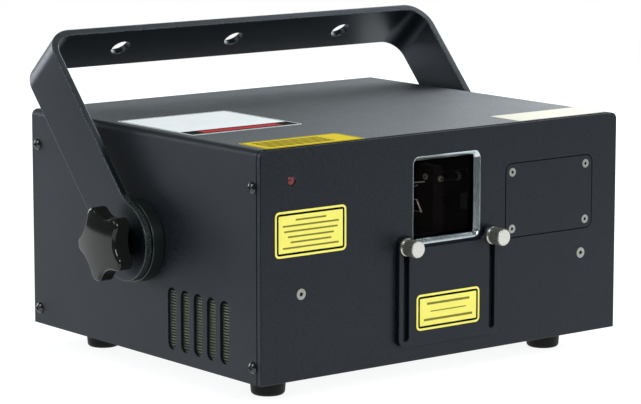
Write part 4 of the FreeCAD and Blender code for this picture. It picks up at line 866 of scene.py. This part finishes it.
# studio floor: a pale painted board under the case and behind it
floorSettings = {"size": 2.2, "place": (0.37, 0.47, 0), "turn": -38.0, "colour": "#e8eef2",
                 "roughness": 0.9, "specular": 0.1, "seenShare": 0.7, "seenStrength": 1.25}
bpy.ops.object.select_all(action="DESELECT")
bpy.ops.mesh.primitive_plane_add(size=floorSettings["size"], location=floorSettings["place"],
                                 rotation=(0, 0, math.radians(floorSettings["turn"])))
floor = bpy.context.object
floor.name = "floor"
floorMaterial, floorTree, floorShader = newMaterial("paintedFloor", {
    "Base Color": linearColour(floorSettings["colour"]), "Roughness": floorSettings["roughness"],
    "Specular IOR Level": floorSettings["specular"]})
# seen directly or mirrored, the floor is mostly plain white
floorRays = addNode(floorTree, "ShaderNodeLightPath")
floorSeen = addNode(floorTree, "ShaderNodeMath", {"operation": "MAXIMUM"},
                    {0: floorRays.outputs["Is Camera Ray"], 1: floorRays.outputs["Is Transmission Ray"]})
floorMirrored = addNode(floorTree, "ShaderNodeMath", {"operation": "MAXIMUM"},
                        {0: floorSeen.outputs[0], 1: floorRays.outputs["Is Glossy Ray"]})
floorShare = addNode(floorTree, "ShaderNodeMath",
                     {"operation": "MULTIPLY", 1: floorSettings["seenShare"]},
                     {0: floorMirrored.outputs[0]})
floorWhite = addNode(floorTree, "ShaderNodeEmission", {"Strength": floorSettings["seenStrength"]})
floorBlend = addNode(floorTree, "ShaderNodeMixShader", None,
                     {0: floorShare.outputs[0], 1: floorShader.outputs[0], 2: floorWhite.outputs[0]})
floorTree.links.new(floorBlend.outputs[0], floorTree.nodes["Material Output"].inputs["Surface"])
floor.data.materials.append(floorMaterial)

# world: white where it is seen, a bright backdrop and a dark room where it is mirrored
worldSettings = {"ambient": 0.3, "room": 0.12, "backdrop": (0.61, 0.78, 0.14), "edge": 0.6, "full": 1.1,
                 "cool": "#f0fcff", "plain": "#ffffff"}
world = bpy.data.worlds.new("studio")
bpy.context.scene.world = world
world.use_nodes = True
worldTree = world.node_tree
worldTree.nodes.clear()
rays = addNode(worldTree, "ShaderNodeLightPath")
outward = addNode(worldTree, "ShaderNodeTexCoord")
towards = addNode(worldTree, "ShaderNodeVectorMath",
                  {"operation": "DOT_PRODUCT", 1: worldSettings["backdrop"]},
                  {0: outward.outputs["Generated"]})
mirrored = addNode(worldTree, "ShaderNodeMapRange",
                   {"From Min": worldSettings["edge"], "From Max": worldSettings["full"],
                    "To Min": worldSettings["room"]}, {"Value": towards.outputs["Value"]})
around = addNode(worldTree, "ShaderNodeMix", {2: worldSettings["ambient"]},
                 {0: rays.outputs["Is Glossy Ray"], 3: mirrored.outputs["Result"]})
direct = addNode(worldTree, "ShaderNodeMath", {"operation": "MAXIMUM"},
                 {0: rays.outputs["Is Camera Ray"], 1: rays.outputs["Is Transmission Ray"]})
seen = addNode(worldTree, "ShaderNodeMath", {"operation": "MAXIMUM"},
               {0: direct.outputs[0], 1: around.outputs[0]})
cast = addNode(worldTree, "ShaderNodeMix",
               {"data_type": "RGBA", 6: linearColour(worldSettings["cool"]),
                7: linearColour(worldSettings["plain"])},
               {0: direct.outputs[0]})
sky = addNode(worldTree, "ShaderNodeBackground", None,
              {"Color": cast.outputs[2], "Strength": seen.outputs[0]})
addNode(worldTree, "ShaderNodeOutputWorld", None, {"Surface": sky.outputs[0]})

# soft lamps: slightly cool, all aimed at the case
softboxTint = (0.94, 0.98, 1.0)
softboxAim = Vector((0, 0, 0.1))
lampSettings = {
    "sideSoftbox": {"place": (-2.0, 0.4, 1.4), "size": 1.1, "power": 15.0},
    "rimSoftbox": {"place": (-0.7, 2.2, 0.5), "size": 0.9, "power": 17.0},
    "frontSoftbox": {"place": (-0.3, -2.4, 1.5), "size": 1.2, "power": 46.0},
    "rightSoftbox": {"place": (1.8, -1.5, 1.9), "size": 1.5, "power": 9.0},
    "lowSoftbox": {"place": (2.2, -1.9, 0.5), "size": 0.8, "power": 7.0},
    "topSoftbox": {"place": (1.5, 0.62, 1.2), "size": 1.2, "power": 39.0},
}
for name, softboxSettings in lampSettings.items():
    bpy.ops.object.light_add(type="AREA", location=softboxSettings["place"])
    softbox = bpy.context.object
    softbox.name = name
    softbox.data.energy = softboxSettings["power"]
    softbox.data.size = softboxSettings["size"]
    softbox.data.color = softboxTint
    aim = softboxAim - Vector(softboxSettings["place"])
    softbox.rotation_euler = aim.to_track_quat("-Z", "Y").to_euler()

# camera: the photograph's own view, worked out for a 641 by 404 frame
cameraSettings = {
    "azimuth": -38.17,
    "elevation": 9.21,
    "distance": 1.9156,
    "target": (-0.0326, -0.0406, 0.1076),
    "lens": 162.8,
    "sensor": 36.0,
}
turn = math.radians(cameraSettings["azimuth"])
lift = math.radians(cameraSettings["elevation"])
sight = Vector((math.sin(turn) * math.cos(lift), -math.cos(turn) * math.cos(lift), math.sin(lift)))
bpy.ops.object.camera_add(location=Vector(cameraSettings["target"]) + sight * cameraSettings["distance"])
camera = bpy.context.object
camera.name = "photoCamera"
camera.rotation_euler = (-sight).to_track_quat("-Z", "Y").to_euler()
camera.data.lens = cameraSettings["lens"]
camera.data.sensor_width = cameraSettings["sensor"]
camera.data.sensor_fit = "HORIZONTAL"
bpy.context.scene.camera = camera
bpy.context.scene.view_settings.view_transform = "Standard"
print("studio and camera ready")
